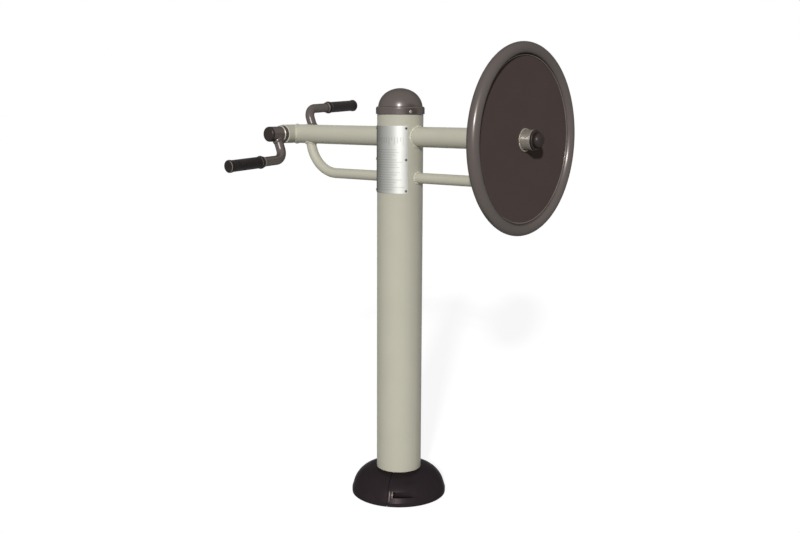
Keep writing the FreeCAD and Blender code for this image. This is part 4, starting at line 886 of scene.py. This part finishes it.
class STATION_OT_fasteners(bpy.types.Operator):
    """Model the heads of the cap's screws, the plate's rivets and the boot's screws"""

    bl_idname = "station.fasteners"
    bl_label = "Fasteners"

    def execute(self, context):
        sizes = context.scene.station_sizes
        self.cap_screws(sizes)
        self.plate_rivets(sizes)
        self.boot_screws(sizes)
        return {"FINISHED"}

    def cap_screws(self, sizes):
        """Screws round the cap's band."""
        low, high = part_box("cap_screws")
        head = (high.z - low.z) / 2
        band = half_size("dome_cap", 1)
        master = cross_head("cap_screw", head, dome=0.58 * head, shank=0.5 * head,
                            length=1.8 * head, recess=sizes.screw_recess)
        places = []
        for index in range(sizes.cap_screw_count):
            out = round_post(sizes.cap_screw_angle + index * 2 * math.pi / sizes.cap_screw_count)
            places.append(axes(out * band + Z_AXIS * (low.z + head), out, Z_AXIS))
        piece = copies(master, "cap_screw_heads", places)
        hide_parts("cap_screws")
        seat(piece, "zinc_plate", "stand")

    def plate_rivets(self, sizes):
        """Rivets at the plate's upright edges."""
        low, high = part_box("plate_rivets")
        face = -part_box("info_plate")[0].y
        head = sizes.rivet_head
        rows = (low.z + head, (low.z + high.z) / 2, high.z - head)
        master = rivet_head("plate_rivet", head, dome=0.5 * head, shank=0.4 * head, length=head)
        places = []
        for angle in (-sizes.rivet_angle, sizes.rivet_angle):
            out = round_post(angle)
            places += [axes(out * face + Z_AXIS * row, out, Z_AXIS) for row in rows]
        piece = copies(master, "plate_rivet_heads", places)
        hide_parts("plate_rivets")
        seat(piece, "dark_rivet", "stand")

    def boot_screws(self, sizes):
        """Screws across the boot's seams, one in each pocket."""
        low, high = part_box("boot_screws")
        head = (high.z - low.z) / 2
        dome = 0.63 * head
        master = cross_head("boot_screw", head, dome, shank=0.5 * head, length=6.3 * head,
                            recess=sizes.screw_recess)
        places = []
        for angle in (sizes.boot_seam, sizes.boot_seam + math.pi):
            out = round_post(angle)
            facing = round_post(angle + math.pi / 2)
            side = [point.co for point in NODES["boot_screws"].data.vertices
                    if point.co.dot(out) > 0]
            tip = max(point.dot(facing) for point in side)
            reach = [point.dot(out) for point in side]
            middle = out * (min(reach) + max(reach)) / 2
            place = middle + facing * (tip - dome) + Z_AXIS * (low.z + head)
            places.append(axes(place, facing, Z_AXIS))
        piece = copies(master, "boot_screw_heads", places)
        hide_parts("boot_screws")
        seat(piece, "black_screw", "stand")


class STATION_OT_boot_ribs(bpy.types.Operator):
    """Model the rounded ribs between the boot's seams and its pockets"""

    bl_idname = "station.boot_ribs"
    bl_label = "Boot Ribs"

    def execute(self, context):
        sizes = context.scene.station_sizes
        shell = NODES["boot_wheel_half"]
        girth = max(point.co.xy.length for point in shell.data.vertices)
        turns = [Matrix.Identity(4), Matrix.Rotation(math.pi, 4, "Z")]
        ribs = (("boot_seam_ribs", sizes.seam_rib, sizes.seam_rib_foot, sizes.seam_rib_top),
                ("boot_pocket_ribs", sizes.pocket_rib, sizes.pocket_rib_foot, sizes.pocket_rib_top))
        for name, reach, low, high in ribs:
            angle = sizes.boot_seam + reach / girth
            master = upright_rib("rib", sizes.rib_radius, low, high, angle, shell)
            # The ribs' lighter plastic is a painted highlight of their rounded edges
            seat(copies(master, name, turns), "glint_rib_plastic", "stand")
        return {"FINISHED"}


class STATION_OT_stage(bpy.types.Operator):
    """Set the floor, the light and the camera"""

    bl_idname = "station.stage"
    bl_label = "Stage"

    def execute(self, context):
        stage = context.scene.station_stage
        self.floor(stage)
        self.world(context.scene, stage)
        self.key(stage)
        self.camera(context.scene, stage)
        context.scene.view_settings.view_transform = "Standard"
        return {"FINISHED"}

    def floor(self, stage):
        """Pale floor that stays white where no shadow falls."""
        deselect()
        bpy.ops.mesh.primitive_plane_add(size=stage.floor_size)
        piece = added("floor")
        finish = Finish("floor_paper")
        mottle = finish.spread(finish.noise(0.6, detail=2.0))
        paper = finish.mix(mottle, (0.24, 0.24, 0.235, 1), (0.26, 0.26, 0.255, 1))
        finish.shade(Base_Color=paper, Roughness=0.9, Specular_IOR_Level=0.0,
                     Emission_Color=grey(1.0),
                     Emission_Strength=self.seen(finish.tree, stage.floor_lift))
        coat(piece, finish.material)

    def seen(self, tree, strength):
        """Value that is there for the camera, for reflections and for what is seen through."""
        rays = tree.nodes.new("ShaderNodeLightPath").outputs
        value = rays["Is Camera Ray"]
        for name in ("Is Glossy Ray", "Is Transmission Ray"):
            larger = tree.nodes.new("ShaderNodeMath")
            larger.operation = "MAXIMUM"
            tree.links.new(value, larger.inputs[0])
            tree.links.new(rays[name], larger.inputs[1])
            value = larger.outputs["Value"]
        times = tree.nodes.new("ShaderNodeMath")
        times.operation = "MULTIPLY"
        times.inputs[1].default_value = strength
        tree.links.new(value, times.inputs[0])
        return times.outputs["Value"]

    def world(self, scene, stage):
        """Even light, with a white background for the camera and for reflections."""
        world = bpy.data.worlds.new("studio")
        scene.world = world
        world.use_nodes = True
        tree = world.node_tree
        back = tree.nodes["Background"]
        back.inputs["Color"].default_value = grey(1.0)
        more = tree.nodes.new("ShaderNodeMath")
        more.operation = "ADD"
        more.inputs[1].default_value = stage.room_light
        tree.links.new(self.seen(tree, 1.0 - stage.room_light), more.inputs[0])
        tree.links.new(more.outputs["Value"], back.inputs["Strength"])

    def key(self, stage):
        """Key light from behind the camera."""
        deselect()
        bpy.ops.object.light_add(type="SUN")
        lamp = bpy.context.object
        lamp.name = "key"
        lamp.data.energy = stage.key_strength
        lamp.data.angle = stage.key_softness
        towards = round_post(stage.key_azimuth) * math.cos(stage.key_elevation)
        towards += Z_AXIS * math.sin(stage.key_elevation)
        lamp.rotation_euler = towards.to_track_quat("Z", "Y").to_euler()

    def camera(self, scene, stage):
        """Camera at the photograph's place, with its lens."""
        deselect()
        bpy.ops.object.camera_add()
        camera = bpy.context.object
        camera.name = "camera"
        camera.data.lens = stage.lens
        camera.data.sensor_width = SENSOR
        camera.data.sensor_fit = "HORIZONTAL"
        turn = Matrix.Rotation(stage.camera_turn, 4, "Z")
        dip = Matrix.Rotation(math.pi / 2 - stage.camera_dip, 4, "X")
        roll = Matrix.Rotation(stage.camera_roll, 4, "Z")
        camera.matrix_world = Matrix.Translation(stage.camera_place) @ turn @ dip @ roll
        scene.camera = camera


class STATION_PT_panel(bpy.types.Panel):
    """Steps that dress the station, in order"""

    bl_label = "Arm Cycle Station"
    bl_idname = "STATION_PT_panel"
    bl_space_type = "VIEW_3D"
    bl_region_type = "UI"
    bl_category = "Arm Cycle"

    def draw(self, context):
        for step in STEPS:
            self.layout.operator(step.bl_idname)


STEPS = (STATION_OT_finishes, STATION_OT_stand_welds, STATION_OT_moving_welds,
         STATION_OT_fasteners, STATION_OT_boot_ribs, STATION_OT_stage)
GROUPS = {"station_sizes": StationSizes, "station_colours": StationColours,
          "station_stage": StationStage}


def register():
    """Register the classes and hang the settings on the scene."""
    for kind in (*GROUPS.values(), *STEPS, STATION_PT_panel):
        bpy.utils.register_class(kind)
    for name, kind in GROUPS.items():
        setattr(bpy.types.Scene, name, PointerProperty(type=kind))


def unregister():
    """Take the settings and the classes away again."""
    for name in GROUPS:
        delattr(bpy.types.Scene, name)
    for kind in reversed((*GROUPS.values(), *STEPS, STATION_PT_panel)):
        bpy.utils.unregister_class(kind)


def main():
    """Dress the station step by step."""
    register()
    bpy.ops.station.finishes()
    bpy.ops.station.stand_welds()
    bpy.ops.station.moving_welds()
    bpy.ops.station.fasteners()
    bpy.ops.station.boot_ribs()
    bpy.ops.station.stage()


if __name__ == "__main__":
    main()
